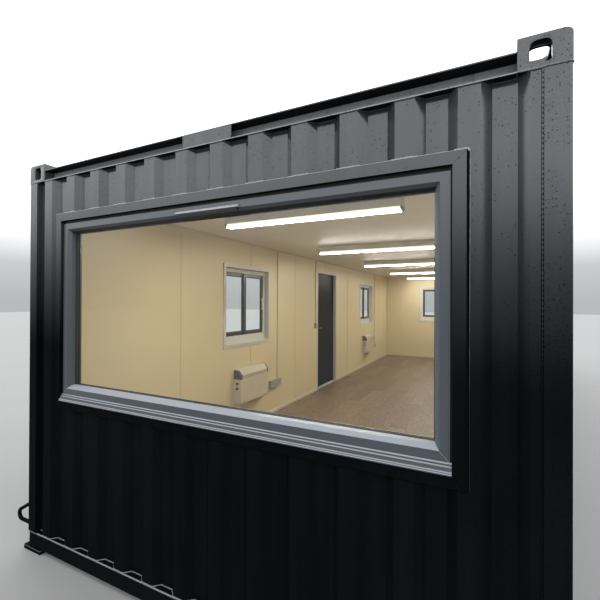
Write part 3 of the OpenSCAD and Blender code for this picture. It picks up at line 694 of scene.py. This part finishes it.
# The pale grey of the foot welds is a painted highlight of wet beads.
painted_highlight_weld = moulded("painted_highlight_weld", (0.19, 0.195, 0.20), 0.16, 320.0)
black_weld = moulded("black_weld", (0.0025, 0.003, 0.0035), 0.14, 320.0, shine=0.9)
primer_steel = moulded("primer_steel", (0.045, 0.036, 0.032), 0.60, 90.0)
dress(["window_trims"], pale_trim)
dress(["skirting", "cable_conduits"], cream_plastic)
dress(["wall_sockets", "light_trays"], white_plastic)
dress(["wall_heaters"], heater_enamel)
dress(["door_frame"], door_grey)
dress(["door_leaf"], door_black)
dress(["door_levers", "hinge_pins", "hinge_knuckles"], dark_metal)
dress(["floor_cross_members"], primer_steel)

# %% [markdown]
# ## Ceiling lights
# The room is lit only by its own lights, so their diffusers glow and light the walls, as the
# real ones do. The glow is a little stronger in the middle than at the ends of each tube, and
# most of it goes down, because the tray shades the sides.

# %% Light diffusers
LIGHT_POWER = 76.0
LIGHT_HALF = 0.72


def glowing_diffuser():
    finish = Finish("glowing_diffuser")
    x, y, z = finish.axes()
    fade = 1 - (x.size() / LIGHT_HALF) * 0.18
    warm = finish.blend(fade, (1.0, 0.90, 0.74), (1.0, 0.955, 0.86))
    down = finish.rise(0 - finish.facing("Z"), 0.2, 0.8)
    warm = finish.blend(down, (0.0135, 0.0130, 0.0110), warm)
    glow = {"Emission_Color": warm, "Emission_Strength": LIGHT_POWER}
    return finish.surface((0.9, 0.88, 0.82), 0.4, None, **glow)


dress(["light_diffusers"], glowing_diffuser())


# %% [markdown]
# ## Keeping a made mesh
# Every added part is one object at the origin, with its place in its mesh. All of them ride on
# the steel frame, because the door has only its own loaded parts. One helper does that.


# %% Keeping a piece
def keep(name, mesh, material):
    """Links a finished mesh as a piece of the cabin."""
    piece = bpy.data.objects.new(name, mesh)
    bpy.context.scene.collection.objects.link(piece)
    mesh.materials.clear()
    mesh.materials.append(material)
    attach(piece, "root")
    print(name, len(mesh.polygons), "faces")
    return piece


def smooth_mesh(name, build, angle=35.0):
    """A mesh from a bmesh, smooth but for edges sharper than an angle."""
    bmesh.ops.recalc_face_normals(build, faces=build.faces)
    mesh = bpy.data.meshes.new(name)
    build.to_mesh(mesh)
    build.free()
    mesh.shade_smooth()
    mesh.set_sharp_from_angle(angle=math.radians(angle))
    return mesh


def bridge(build, here, after):
    """Faces all round between two loops of as many points."""
    for i in range(len(here)):
        j = (i + 1) % len(here)
        build.faces.new((here[i], here[j], after[j], after[i]))


# %% [markdown]
# ## Frames drawn from a section
# Seals and spacer bars all go round a rectangle with mitred corners. The section is a short
# list of points, each a distance in from the outer edge and a depth behind the wall's face.
# Four copies of the section, one at each corner, are joined by faces.


# %% Mitred rings
CORNERS = ((-1, -1), (1, -1), (1, 1), (-1, 1))


def mitred_ring(build, window, outer, section):
    """Adds a ring whose outer edge lies a distance inside a window's opening."""
    wall, x, z, w, h = window
    left, right, bottom, top = outer
    loops = []
    for side, end in CORNERS:
        edge_x = w / 2 - (left if side < 0 else right)
        edge_z = h / 2 - (bottom if end < 0 else top)
        points = [(x + side * (edge_x - inset), depth, z + end * (edge_z - inset))
                  for inset, depth in section]
        loops.append([build.verts.new(on_wall(wall, *point)) for point in points])
    for corner in range(4):
        bridge(build, loops[corner], loops[(corner + 1) % 4])


def box_section(inset, width, front, back):
    """A plain rectangle as a ring's section."""
    return [(inset, front), (inset + width, front), (inset + width, back), (inset, back)]


# %% [markdown]
# ## Glazing
# A double-glazed pane is held by beads. A black rubber wedge seals each side of it, and a dark
# metal spacer bar runs between the two sheets of glass, at the edge of what can be seen.

# %% Glazing seals and spacer bars
PICTURE_OUTER = (JOINT_SIDE + PICTURE_FACE, JOINT_SIDE + PICTURE_FACE,
                 SILL_H + PICTURE_FACE, JOINT_TOP + PICTURE_FACE)
PICTURE_BEAD = 0.020
PICTURE_GLASS = (0.057, 0.081)
seals = bmesh.new()
spacers = bmesh.new()
mitred_ring(seals, PICTURE, PICTURE_OUTER, [
    (PICTURE_BEAD - 0.004, PICTURE_GLASS[0] - 0.005),
    (PICTURE_BEAD + 0.0005, PICTURE_GLASS[0] - 0.004),
    (PICTURE_BEAD + 0.0020, PICTURE_GLASS[0] + 0.0005),
    (PICTURE_BEAD - 0.004, PICTURE_GLASS[0] + 0.0005),
])
mitred_ring(seals, PICTURE, PICTURE_OUTER, [
    (0.012, PICTURE_GLASS[1] - 0.0005),
    (0.020, PICTURE_GLASS[1] - 0.0005),
    (0.018, PICTURE_GLASS[1] + 0.004),
    (0.012, PICTURE_GLASS[1] + 0.005),
])
spacer = box_section(PICTURE_BEAD - 0.011, 0.009,
                     PICTURE_GLASS[0] + 0.004, PICTURE_GLASS[1] - 0.004)
mitred_ring(spacers, PICTURE, PICTURE_OUTER, spacer)
SIDE_FACE = 0.052
SASH_FACE = 0.050
TRACK_D = 0.006
TRACKS = ((1, 0.008), (-1, 0.028))
clear_w = SIDE_W - 2 * SIDE_FACE
sash_w = clear_w / 2 + SASH_FACE / 2 + TRACK_D
for wall, x, z, w, h in SIDE_WINDOWS:
    for side, track in TRACKS:
        shift = side * (clear_w - sash_w) / 2 + side * TRACK_D
        sash_h = h - SILL_H - 2 * SIDE_FACE + 2 * TRACK_D
        sash = (wall, x + shift, z + SILL_H / 2, sash_w, sash_h)
        for build, width, front, back in (
            (seals, 0.004, 0.0015, 0.0035),
            (seals, 0.004, 0.0145, 0.0165),
            (spacers, 0.007, 0.006, 0.012),
        ):
            section = box_section(SASH_FACE - 0.001, width, track + front, track + back)
            mitred_ring(build, sash, (0, 0, 0, 0), section)
keep("glazing_seals", smooth_mesh("glazing_seals", seals), dark_rubber)
keep("glazing_spacers", smooth_mesh("glazing_spacers", spacers), spacer_metal)

# %% [markdown]
# ## A tree for welds and mastic
# A weld bead is a row of overlapping drops of metal along a path. The Geometry Nodes tree turns
# a drawn line into a curve, gives it points at an even spacing, and sweeps a small round along
# it. Every second point is narrowed, and each has a little chance in its size, so the tube
# swells and thins as a bead does. The same tree with no narrowing makes a line of mastic.


# %% Bead tree
class Maker(Graph):
    """A Geometry Nodes tree with named inputs."""

    def __init__(self, name, numbers):
        self.tree = bpy.data.node_groups.new(name, "GeometryNodeTree")
        sockets = self.tree.interface
        sockets.new_socket("Geometry", in_out="OUTPUT", socket_type="NodeSocketGeometry")
        sockets.new_socket("Geometry", in_out="INPUT", socket_type="NodeSocketGeometry")
        for number, value in numbers.items():
            kind = "NodeSocketInt" if isinstance(value, int) else "NodeSocketFloat"
            sockets.new_socket(number, in_out="INPUT", socket_type=kind).default_value = value
        sockets.new_socket("Material", in_out="INPUT", socket_type="NodeSocketMaterial")
        self.inlet = self.tree.nodes.new("NodeGroupInput")

    def given(self, name):
        return Wire(self, self.inlet.outputs[name])

    def finish(self, geometry):
        whole = self.node("GeometryNodeRealizeInstances", {}, {0: geometry})
        values = {"Geometry": whole, "Material": self.given("Material")}
        painted = self.node("GeometryNodeSetMaterial", {}, values)
        self.node("NodeGroupOutput", {}, {0: painted})
        return self.tree


def bead_tree():
    """A swelling bead along a mesh's edges."""
    numbers = {"Spacing": 0.006, "Radius": 0.003, "Waist": 0.35, "Chance": 0.15, "Seed": 1}
    maker = Maker("bead_on_a_path", numbers)
    line = maker.node("GeometryNodeMeshToCurve", {}, {0: maker.given("Geometry")})
    values = {"Curve": line, "Length": maker.given("Spacing")}
    points = maker.node("GeometryNodeResampleCurve", {"mode": "LENGTH"}, values)
    odd = maker.node("GeometryNodeInputIndex", {}, {}) % 2
    low, high = 1 - maker.given("Chance"), 1 + maker.given("Chance")
    values = {2: low, 3: high, "Seed": maker.given("Seed")}
    luck = maker.node("FunctionNodeRandomValue", {"data_type": "FLOAT"}, values, 1)
    size = luck * (1 - odd * maker.given("Waist"))
    values = {"Resolution": 6, "Radius": maker.given("Radius")}
    round_line = maker.node("GeometryNodeCurvePrimitiveCircle", {}, values)
    values = {"Curve": points, "Profile Curve": round_line, "Scale": size, "Fill Caps": True}
    tube = maker.node("GeometryNodeCurveToMesh", {}, values)
    return maker.finish(maker.node("GeometryNodeSetShadeSmooth", {}, {0: tube}))


BEAD_TREE = bead_tree()


def lines_mesh(name, lines):
    """A mesh of edges only, from lists of points."""
    points, edges = [], []
    for line in lines:
        first = len(points)
        points.extend(line)
        edges.extend((first + i, first + i + 1) for i in range(len(line) - 1))
    mesh = bpy.data.meshes.new(name)
    mesh.from_pydata(points, edges, [])
    return mesh


def grow(name, lines, material, slot, **numbers):
    """Runs the bead tree on lines and keeps the result as a plain piece."""
    source = bpy.data.objects.new(name + "_source", lines_mesh(name + "_lines", lines))
    bpy.context.scene.collection.objects.link(source)
    modifier = source.modifiers.new("made", "NODES")
    modifier.node_group = BEAD_TREE
    given = dict(numbers, Material=material)
    for item in BEAD_TREE.interface.items_tree:
        if item.in_out == "INPUT" and item.name in given:
            modifier[item.identifier] = given[item.name]
    depsgraph = bpy.context.evaluated_depsgraph_get()
    mesh = bpy.data.meshes.new_from_object(source.evaluated_get(depsgraph))
    mesh.name = name
    bpy.data.objects.remove(source)
    return keep(name, mesh, material)


# %% [markdown]
# ## Flat strips
# Mastic, shadow joints and the cover strips inside are all flat bars with sloping sides, laid on
# a wall. One helper draws such a bar between two places along the wall and two heights.


# %% Strips
def soft_strip(build, wall, across, up, depths, lean=0.0012):
    """Adds a flat bar with sloping sides, from its back depth to its front depth."""
    (x0, x1), (z0, z1), (back, front) = across, up, depths
    base = [(x0, z0), (x1, z0), (x1, z1), (x0, z1)]
    top = [(x0 + lean, z0 + lean), (x1 - lean, z0 + lean),
           (x1 - lean, z1 - lean), (x0 + lean, z1 - lean)]
    low = [build.verts.new(on_wall(wall, x, back, z)) for x, z in base]
    high = [build.verts.new(on_wall(wall, x, front, z)) for x, z in top]
    build.faces.new(low)
    build.faces.new(high)
    bridge(build, low, high)


# %% [markdown]
# ## Welds
# The sheets are welded to the rails along their wavy foot and head, and to the posts up their
# ends. The wave is written again here from its own sizes, in the same words as the sheet's
# section: a ridge, a slope down, a valley and a slope up.

# %% Weld paths
WAVE_PITCH = 0.23034
WAVE_CREST = 0.077
WAVE_VALLEY = 0.081
WAVE_SLOPE = (WAVE_PITCH - WAVE_CREST - WAVE_VALLEY) / 2
WAVE_DEPTH = 0.034
SETBACK = 0.004
WAVE_SHIFT = {"front": 0.060, "rear": 0.060, "left": 0.0, "right": 0.0}
POST_W = 0.082
POST_D = 0.160
MOST_WAVES = 60
SHADOW_STRIP_W = 0.0085
CORNER_BEND = 0.006
BADGE_HALF = 0.1535


def wave_y(wall, x):
    """How far the sheet's outer face lies behind the posts' face."""
    along = (x - WAVE_SHIFT[wall] + WAVE_CREST / 2) % WAVE_PITCH
    down = (along - WAVE_CREST) / WAVE_SLOPE
    back_up = (WAVE_PITCH - along) / WAVE_SLOPE
    return SETBACK + WAVE_DEPTH * max(0.0, min(1.0, down, back_up))


def wave_line(wall, x0, x1, z, out):
    """Points along a sheet's outer face from x0 to x1, a little out of it."""
    first = math.floor((x0 - WAVE_SHIFT[wall]) / WAVE_PITCH) - 1
    corners = [x0, x1]
    for i in range(first, first + MOST_WAVES):
        start = WAVE_SHIFT[wall] + i * WAVE_PITCH - WAVE_CREST / 2
        for step in (0, WAVE_CREST, WAVE_CREST + WAVE_SLOPE, WAVE_PITCH - WAVE_SLOPE):
            if x0 < start + step < x1:
                corners.append(start + step)
    return [on_wall(wall, x, wave_y(wall, x) - out, z) for x in sorted(corners)]


SHEET_RUNS = [
    ("front", POST_W - HALF_W, HALF_W - POST_W, POST_FOOT_Z),
    ("rear", POST_W - HALF_W, HALF_W - POST_W, POST_FOOT_Z),
    ("right", POST_D - HALF_L, HALF_L - POST_D, POST_FOOT_Z),
    ("left", DOOR_RIGHT, HALF_L - POST_D, POST_FOOT_Z),
    ("left", POST_D - HALF_L, DOOR_LEFT, POST_FOOT_Z),
    ("left", DOOR_LEFT, DOOR_RIGHT, DOOR_TOP),
]
foot_lines, head_lines, upright_lines = [], [], []
shadow_strips = bmesh.new()
for wall, x0, x1, z in SHEET_RUNS:
    foot_lines.append(wave_line(wall, x0, x1, z + 0.001, 0.001))
    head_lines.append(wave_line(wall, x0, x1, POST_TOP_Z - 0.001, 0.001))
    for x, inward in ((x0, 1), (x1, -1)):
        face = wave_y(wall, x)
        ends = (z, POST_TOP_Z)
        upright_lines.append([on_wall(wall, x + inward * 0.004, face - 0.001, end) for end in ends])
        # Painted shadow: a black strip at each end of a sheet, where it meets a post or the door
        # frame.
        across = sorted((x, x + inward * SHADOW_STRIP_W))
        soft_strip(shadow_strips, wall, across, ends, (face + 0.001, face - 0.0012))
for wall in ("front", "rear"):
    for side in (-1, 1):
        joint = [(HALF_W, POST_D - 0.014), (HALF_W, CORNER_BEND), (HALF_W - CORNER_BEND, 0.0),
                 (HALF_W - POST_W, 0.0)]
        head_lines.append([on_wall(wall, side * x, y, POST_TOP_Z) for x, y in joint])
for end in (-BADGE_HALF, BADGE_HALF):
    upright_lines.append([on_wall("front", end, 0.0, POST_TOP_Z + low) for low in (0.006, 0.067)])

# The foot welds take the painted highlight finish.
grow("foot_welds", foot_lines, painted_highlight_weld, "black_steel",
     Spacing=0.0055, Radius=0.0040, Waist=0.30, Chance=0.14, Seed=3)
grow("head_welds", head_lines, black_weld, "black_steel",
     Spacing=0.009, Radius=0.0032, Waist=0.30, Chance=0.14, Seed=5)
grow("upright_welds", upright_lines, frame_paint, "black_steel",
     Spacing=0.0085, Radius=0.0040, Waist=0.80, Chance=0.20, Seed=7)
# The black strips are painted shadow beside the upright welds.
keep("upright_shadow_strips", smooth_mesh("upright_shadow_strips", shadow_strips), black_gap)

# %% [markdown]
# ## Mastic round the window surrounds
# A surround stands on the ridges of the sheet and bridges its valleys. Where it touches a
# ridge, a line of mastic closes the joint, so there are short lines along its bottom, daubs along
# its top and a long line down a side that lies on a ridge. Sealant runs along the whole top.


# %% Mastic
def ridge_spans(wall, x0, x1):
    """The parts of x0 to x1 that lie on ridges."""
    first = math.floor((x0 - WAVE_SHIFT[wall]) / WAVE_PITCH) - 1
    spans = []
    for i in range(first, first + MOST_WAVES):
        middle = WAVE_SHIFT[wall] + i * WAVE_PITCH
        low, high = max(x0, middle - WAVE_CREST / 2), min(x1, middle + WAVE_CREST / 2)
        if high - low > 0.01:
            spans.append((low, high))
    return spans


mastic_lines, sealant_lines, daub_lines = [], [], []
for wall, x, z, w, h in [PICTURE, *SIDE_WINDOWS]:
    left, right = x - w / 2 - SURROUND_W, x + w / 2 + SURROUND_W
    bottom, top = z - h / 2 - SURROUND_W, z + h / 2 + SURROUND_W
    sealant_lines.append([on_wall(wall, at, -0.0005, top + 0.0005) for at in (left, right)])
    for low, high in ridge_spans(wall, left, right):
        ends = (low, high)
        mastic_lines.append([on_wall(wall, at, SETBACK - 0.002, bottom - 0.002) for at in ends])
        low, high = max(low - 0.012, left), min(high + 0.012, right)
        daub_lines.append([on_wall(wall, at, 0.0015, top + 0.002) for at in (low, high)])
    for edge, out in ((left, -0.002), (right, 0.002)):
        if wave_y(wall, edge) < SETBACK + 0.002:
            ends = (bottom, top)
            mastic_lines.append([on_wall(wall, edge + out, SETBACK - 0.001, end) for end in ends])
grow("surround_mastic", mastic_lines, black_gap, "surround_steel",
     Spacing=0.012, Radius=0.0042, Waist=0.06, Chance=0.10, Seed=11)
grow("head_sealant", sealant_lines, grey_sealant, "surround_steel",
     Spacing=0.010, Radius=0.0024, Waist=0.10, Chance=0.30, Seed=13)
band_right = PICTURE[1] + PICTURE[3] / 2 + SURROUND_W
band_top = PICTURE_TOP + SURROUND_W
band_bottom = band_top - PICTURE[4] - 2 * SURROUND_W
daub_lines.append([on_wall("front", band_right + x, 0.0005, band_top + z)
                   for x, z in ((-0.014, 0.001), (-0.004, 0.003), (0.006, 0.001), (0.010, -0.008))])
grow("head_daubs", daub_lines, grey_sealant, "surround_steel",
     Spacing=0.009, Radius=0.0048, Waist=0.12, Chance=0.28, Seed=17)
ends = (band_bottom, band_top)
# Down the band's right side: a sealant line whose fade is a painted reflection, beside a black
# mastic strip.
side_line = [[on_wall("front", band_right + 0.0112, SETBACK - 0.0015, z) for z in ends]]
grow("side_sealant", side_line, sealant_with_painted_fade, "surround_steel",
     Spacing=0.010, Radius=0.0012, Waist=0.10, Chance=0.30, Seed=19)
strip = bmesh.new()
soft_strip(strip, "front", (band_right, band_right + 0.0105), ends, (SETBACK + 0.001, 0.001))
keep("side_mastic", smooth_mesh("side_mastic", strip), black_gap)

# %% [markdown]
# ## Corner castings
# A cast corner is rounded most at its outer top corner, where it takes the knocks, and its holes
# have soft rims. One casting is drawn with its outer corner at the origin: the hull of small
# balls in the block's corners. Round the outer top corner they lie on three arcs, with a bigger
# ball inside. The cavity and the three holes, which have flatter ends than a circle, are cut out
# of it, a bevel softens the rims, and it is mirrored to the four corners.

# %% Castings
CASTING = Vector((0.162, 0.178, 0.118))
CASTING_T = 0.028
HIDDEN_T = 0.018
BOTTOM_T = 0.014
CORNER_R = 0.025
EDGE_R = 0.004
HOLE_X, HOLE_Y, HOLE_Z = 0.092, 0.101, 0.018
HOLE_HALF = 0.033
HOLE_BEND = 0.014
SLOT_HALF, SLOT_REACH = 0.032, 0.030
CUT_PAST = 0.012
FLATNESS = 0.62


def arc(middle, radius, start, stop, steps=6):
    """Points on a circle, from one angle in degrees to another."""
    angles = [math.radians(start + (stop - start) * i / steps) for i in range(steps + 1)]
    return [(middle[0] + radius * math.cos(a), middle[1] + radius * math.sin(a)) for a in angles]


def flat_arch(half, rise, base, turn=1.0):
    """A half oval from right to left, flatter on top than a circle."""
    angles = [math.pi * i / 24 for i in range(25)]
    return [(turn * math.copysign(half * abs(math.cos(a)) ** FLATNESS, math.cos(a)),
             base + turn * rise * math.sin(a) ** FLATNESS) for a in angles]


def ball(build, middle, radius):
    """Adds points on a ball, for a hull."""
    for i in range(1, 12):
        level = math.pi * i / 12
        for j in range(24):
            turn = math.pi * j / 12
            flat = math.sin(level)
            way = Vector((flat * math.cos(turn), flat * math.sin(turn), math.cos(level)))
            build.verts.new(middle + radius * way)
    build.verts.new(middle + Vector((0, 0, radius)))
    build.verts.new(middle - Vector((0, 0, radius)))


def as_object(build, name):
    """A linked object from a bmesh, for a Boolean."""
    bmesh.ops.recalc_face_normals(build, faces=build.faces)
    mesh = bpy.data.meshes.new(name)
    build.to_mesh(mesh)
    build.free()
    made = bpy.data.objects.new(name, mesh)
    bpy.context.scene.collection.objects.link(made)
    return made


def casting_block():
    """The casting's outer shape, with its outer top corner at (0, 0) and full height."""
    build = bmesh.new()
    near, far = EDGE_R, CASTING - Vector((1, 1, 1)) * EDGE_R
    corners = [(x, y, z) for x in (near, far.x) for y in (near, far.y) for z in (near, far.z)]
    corners.remove((near, near, far.z))
    for a, b in arc((CORNER_R, CORNER_R), CORNER_R - EDGE_R, 180, 270):
        corners += [(a, near, CASTING.z - b), (near, a, CASTING.z - b), (a, b, far.z)]
    for corner in corners:
        ball(build, Vector(corner), EDGE_R)
    ball(build, Vector((CORNER_R, CORNER_R, CASTING.z - CORNER_R)), CORNER_R)
    hull = bmesh.ops.convex_hull(build, input=build.verts)
    inner = hull["geom_interior"] + hull["geom_unused"]
    spare = {v for v in inner if isinstance(v, bmesh.types.BMVert)}
    bmesh.ops.delete(build, geom=list(spare))
    return as_object(build, "casting_block")


def prism(outline, place):
    """A closed bar between the near and far copies of an outline."""
    build = bmesh.new()
    near, far = [[build.verts.new(place(a, b, k)) for a, b in outline] for k in (0, 1)]
    build.faces.new(near)
    build.faces.new(far)
    bridge(build, near, far)
    return as_object(build, "cutter")


def casting_cutters():
    """The cavity, the two side holes and the top slot."""
    bend = HOLE_HALF - HOLE_BEND
    side_hole = flat_arch(HOLE_HALF, HOLE_HALF, 0.046)
    side_hole += arc((-bend, HOLE_BEND), HOLE_BEND, 180, 270)
    side_hole += arc((bend, HOLE_BEND), HOLE_BEND, 270, 360)
    slot = flat_arch(SLOT_HALF, SLOT_HALF, SLOT_REACH)
    slot += flat_arch(SLOT_HALF, SLOT_HALF, -SLOT_REACH, -1.0)
    deep = CASTING_T + CUT_PAST
    right, back = CASTING.x - HIDDEN_T, CASTING.y - HIDDEN_T
    room = [(CASTING_T, CASTING_T), (right, CASTING_T), (right, back), (CASTING_T, back)]
    return [
        prism(room, lambda a, b, k: (a, b, BOTTOM_T + k * (CASTING.z - CASTING_T - BOTTOM_T))),
        prism(side_hole, lambda a, b, k: (HOLE_X + a, -0.01 + k * deep, HOLE_Z + b)),
        prism(side_hole, lambda a, b, k: (-0.01 + k * deep, HOLE_Y + a, HOLE_Z + b)),
        prism(slot, lambda a, b, k: (
            HOLE_X + a, HOLE_Y + b, CASTING.z - CASTING_T - 0.002 + k * deep
        )),
    ]


def cast_corners():
    """Four castings in one mesh."""
    block = casting_block()
    cutters = casting_cutters()
    for cutter in cutters:
        cut = block.modifiers.new("cut", "BOOLEAN")
        cut.operation, cut.solver, cut.object = "DIFFERENCE", "EXACT", cutter
    rim = block.modifiers.new("rim", "BEVEL")
    rim.width, rim.segments = 0.003, 2
    rim.limit_method, rim.angle_limit = "ANGLE", math.radians(50)
    depsgraph = bpy.context.evaluated_depsgraph_get()
    one = bpy.data.meshes.new_from_object(block.evaluated_get(depsgraph))
    for spare in [block, *cutters]:
        bpy.data.objects.remove(spare)
    build = bmesh.new()
    for x in (-1, 1):
        for y in (-1, 1):
            copy = one.copy()
            corner = Matrix.Translation((x * HALF_W, y * HALF_L, POST_TOP_Z))
            copy.transform(corner @ Matrix.Diagonal((-x, -y, 1, 1)))
            build.from_mesh(copy)
    bmesh.ops.remove_doubles(build, verts=build.verts, dist=1e-6)
    return smooth_mesh("cast_corners", build, 32.0)


castings = keep("cast_corners", cast_corners(), casting_paint)
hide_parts("top_corner_castings")

# %% [markdown]
# ## Cover strips in the room
# The room's boards are 1.22 m wide, and a thin strip covers each joint. A strip runs from the
# skirting to the ceiling, and stops at a window, the door or a heater. Small angles close the
# corners of the room and the joint between the walls and the ceiling.

# %% Cover strips
BOARD_W = 1.22
STRIP_W = 0.014
STRIP_OUT = 0.0025
TRIM_EDGE = 0.045
LEAST_SPAN = 0.03
ANGLE_W, ANGLE_T = 0.020, 0.0025
CORNICE_W, CORNICE_T = 0.022, 0.003
SKIRTING_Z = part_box("skirting")[1].z


def free_spans(low, high, taken):
    """The parts of low to high that nothing takes."""
    spans = []
    for start, stop in sorted(taken):
        if start > low:
            spans.append((low, min(start, high)))
        low = max(low, stop)
    if low < high:
        spans.append((low, high))
    return [span for span in spans if span[1] - span[0] > LEAST_SPAN]


def taken_heights(wall, x):
    """The heights that windows, the door and heaters take at a place on a wall."""
    taken = []
    for window_wall, window_x, z, w, h in SIDE_WINDOWS:
        if window_wall == wall and abs(x - window_x) < w / 2 + TRIM_EDGE + STRIP_W:
            taken.append((z - h / 2 - TRIM_EDGE, z + h / 2 + TRIM_EDGE))
            if wall == "left" and abs(x - window_x) < HEATER_HALF + STRIP_W:
                taken.append((heater_low.z - 0.002, heater_high.z + 0.002))
    if wall == "left" and DOOR_LEFT - STRIP_W < x < DOOR_RIGHT + STRIP_W:
        taken.append((0.0, DOOR_TOP + 0.002))
    return taken


strips = bmesh.new()
for wall, half in (("left", ROOM_Y), ("right", ROOM_Y), ("rear", ROOM_X)):
    for i in range(1, int(2 * half / BOARD_W) + 1):
        x = half - BOARD_W * i if wall == "left" else BOARD_W * i - half
        if half - abs(x) < 0.1:
            continue
        for span in free_spans(SKIRTING_Z, CEILING_Z, taken_heights(wall, x)):
            across = (x - STRIP_W / 2, x + STRIP_W / 2)
            soft_strip(strips, wall, across, span, (WALL_T - 0.0005, WALL_T + STRIP_OUT), 0.001)
angle = [(0, 0), (ANGLE_W, 0), (ANGLE_W, ANGLE_T), (ANGLE_T, ANGLE_T), (ANGLE_T, ANGLE_W),
         (0, ANGLE_W)]
for x, y in CORNERS:
    rings = [[strips.verts.new((x * (ROOM_X - a), y * (ROOM_Y - b), z)) for a, b in angle]
             for z in (SKIRTING_Z, CEILING_Z)]
    bridge(strips, *rings)
    for ring in rings:
        strips.faces.new(ring)
cornice = [(0, 0), (CORNICE_W, 0), (CORNICE_W, CORNICE_T), (CORNICE_T, CORNICE_W), (0, CORNICE_W)]
loops = [[strips.verts.new((x * (ROOM_X - a), y * (ROOM_Y - a), CEILING_Z - b)) for a, b in cornice]
         for x, y in CORNERS]
for corner in range(4):
    bridge(strips, loops[corner], loops[(corner + 1) % 4])
keep("cover_strips", smooth_mesh("cover_strips", strips), cream_plastic)

# %% [markdown]
# ## Studio
# A plain pale floor and a soft sky stand in for the yard. The sky is grey at the horizon and
# bright from 15 to 50 degrees up, like an overcast day, so that upright paint shines at the top
# and darkens downwards. It changes with direction only, so it is the same from every side.


# %% Floor and sky
STUDIO_HALF = 60.0


def studio():
    """A pale floor, which is stage and not part of the cabin."""
    mesh = bpy.data.meshes.new("studio_floor")
    mesh.from_pydata([(x * STUDIO_HALF, y * STUDIO_HALF, 0) for x, y in CORNERS], [], [(0, 1, 2, 3)])
    ground = bpy.data.objects.new("studio_floor", mesh)
    bpy.context.scene.collection.objects.link(ground)
    finish = Finish("studio_floor")
    pale = finish.blend(finish.noise(0.8), (0.32, 0.32, 0.32), (0.35, 0.35, 0.35))
    mesh.materials.append(finish.surface(pale, 0.7))


class Sky(Graph):
    """The world's light, by direction."""

    def __init__(self):
        world = bpy.data.worlds.new("sky")
        bpy.context.scene.world = world
        world.use_nodes = True
        self.tree = world.node_tree
        self.tree.nodes.clear()
        direction = self.node("ShaderNodeTexCoord", {}, {}, "Generated")
        height = self.node("ShaderNodeSeparateXYZ", {}, {0: direction}, 2)
        stops = [
            (0.00, (0.24, 0.245, 0.25)),
            (0.08, (0.30, 0.305, 0.31)),
            (0.24, (0.86, 0.875, 0.89)),
            (0.45, (1.0, 1.0, 1.0)),
            (0.95, (0.66, 0.67, 0.68)),
        ]
        colour = self.node("ShaderNodeValToRGB", {"stops": stops}, {0: height})
        light = self.node("ShaderNodeBackground", {}, {"Color": colour, "Strength": 2.0})
        self.node("ShaderNodeOutputWorld", {}, {0: light})


studio()
Sky()

# %% Picture settings
bpy.context.scene.view_settings.view_transform = "Standard"
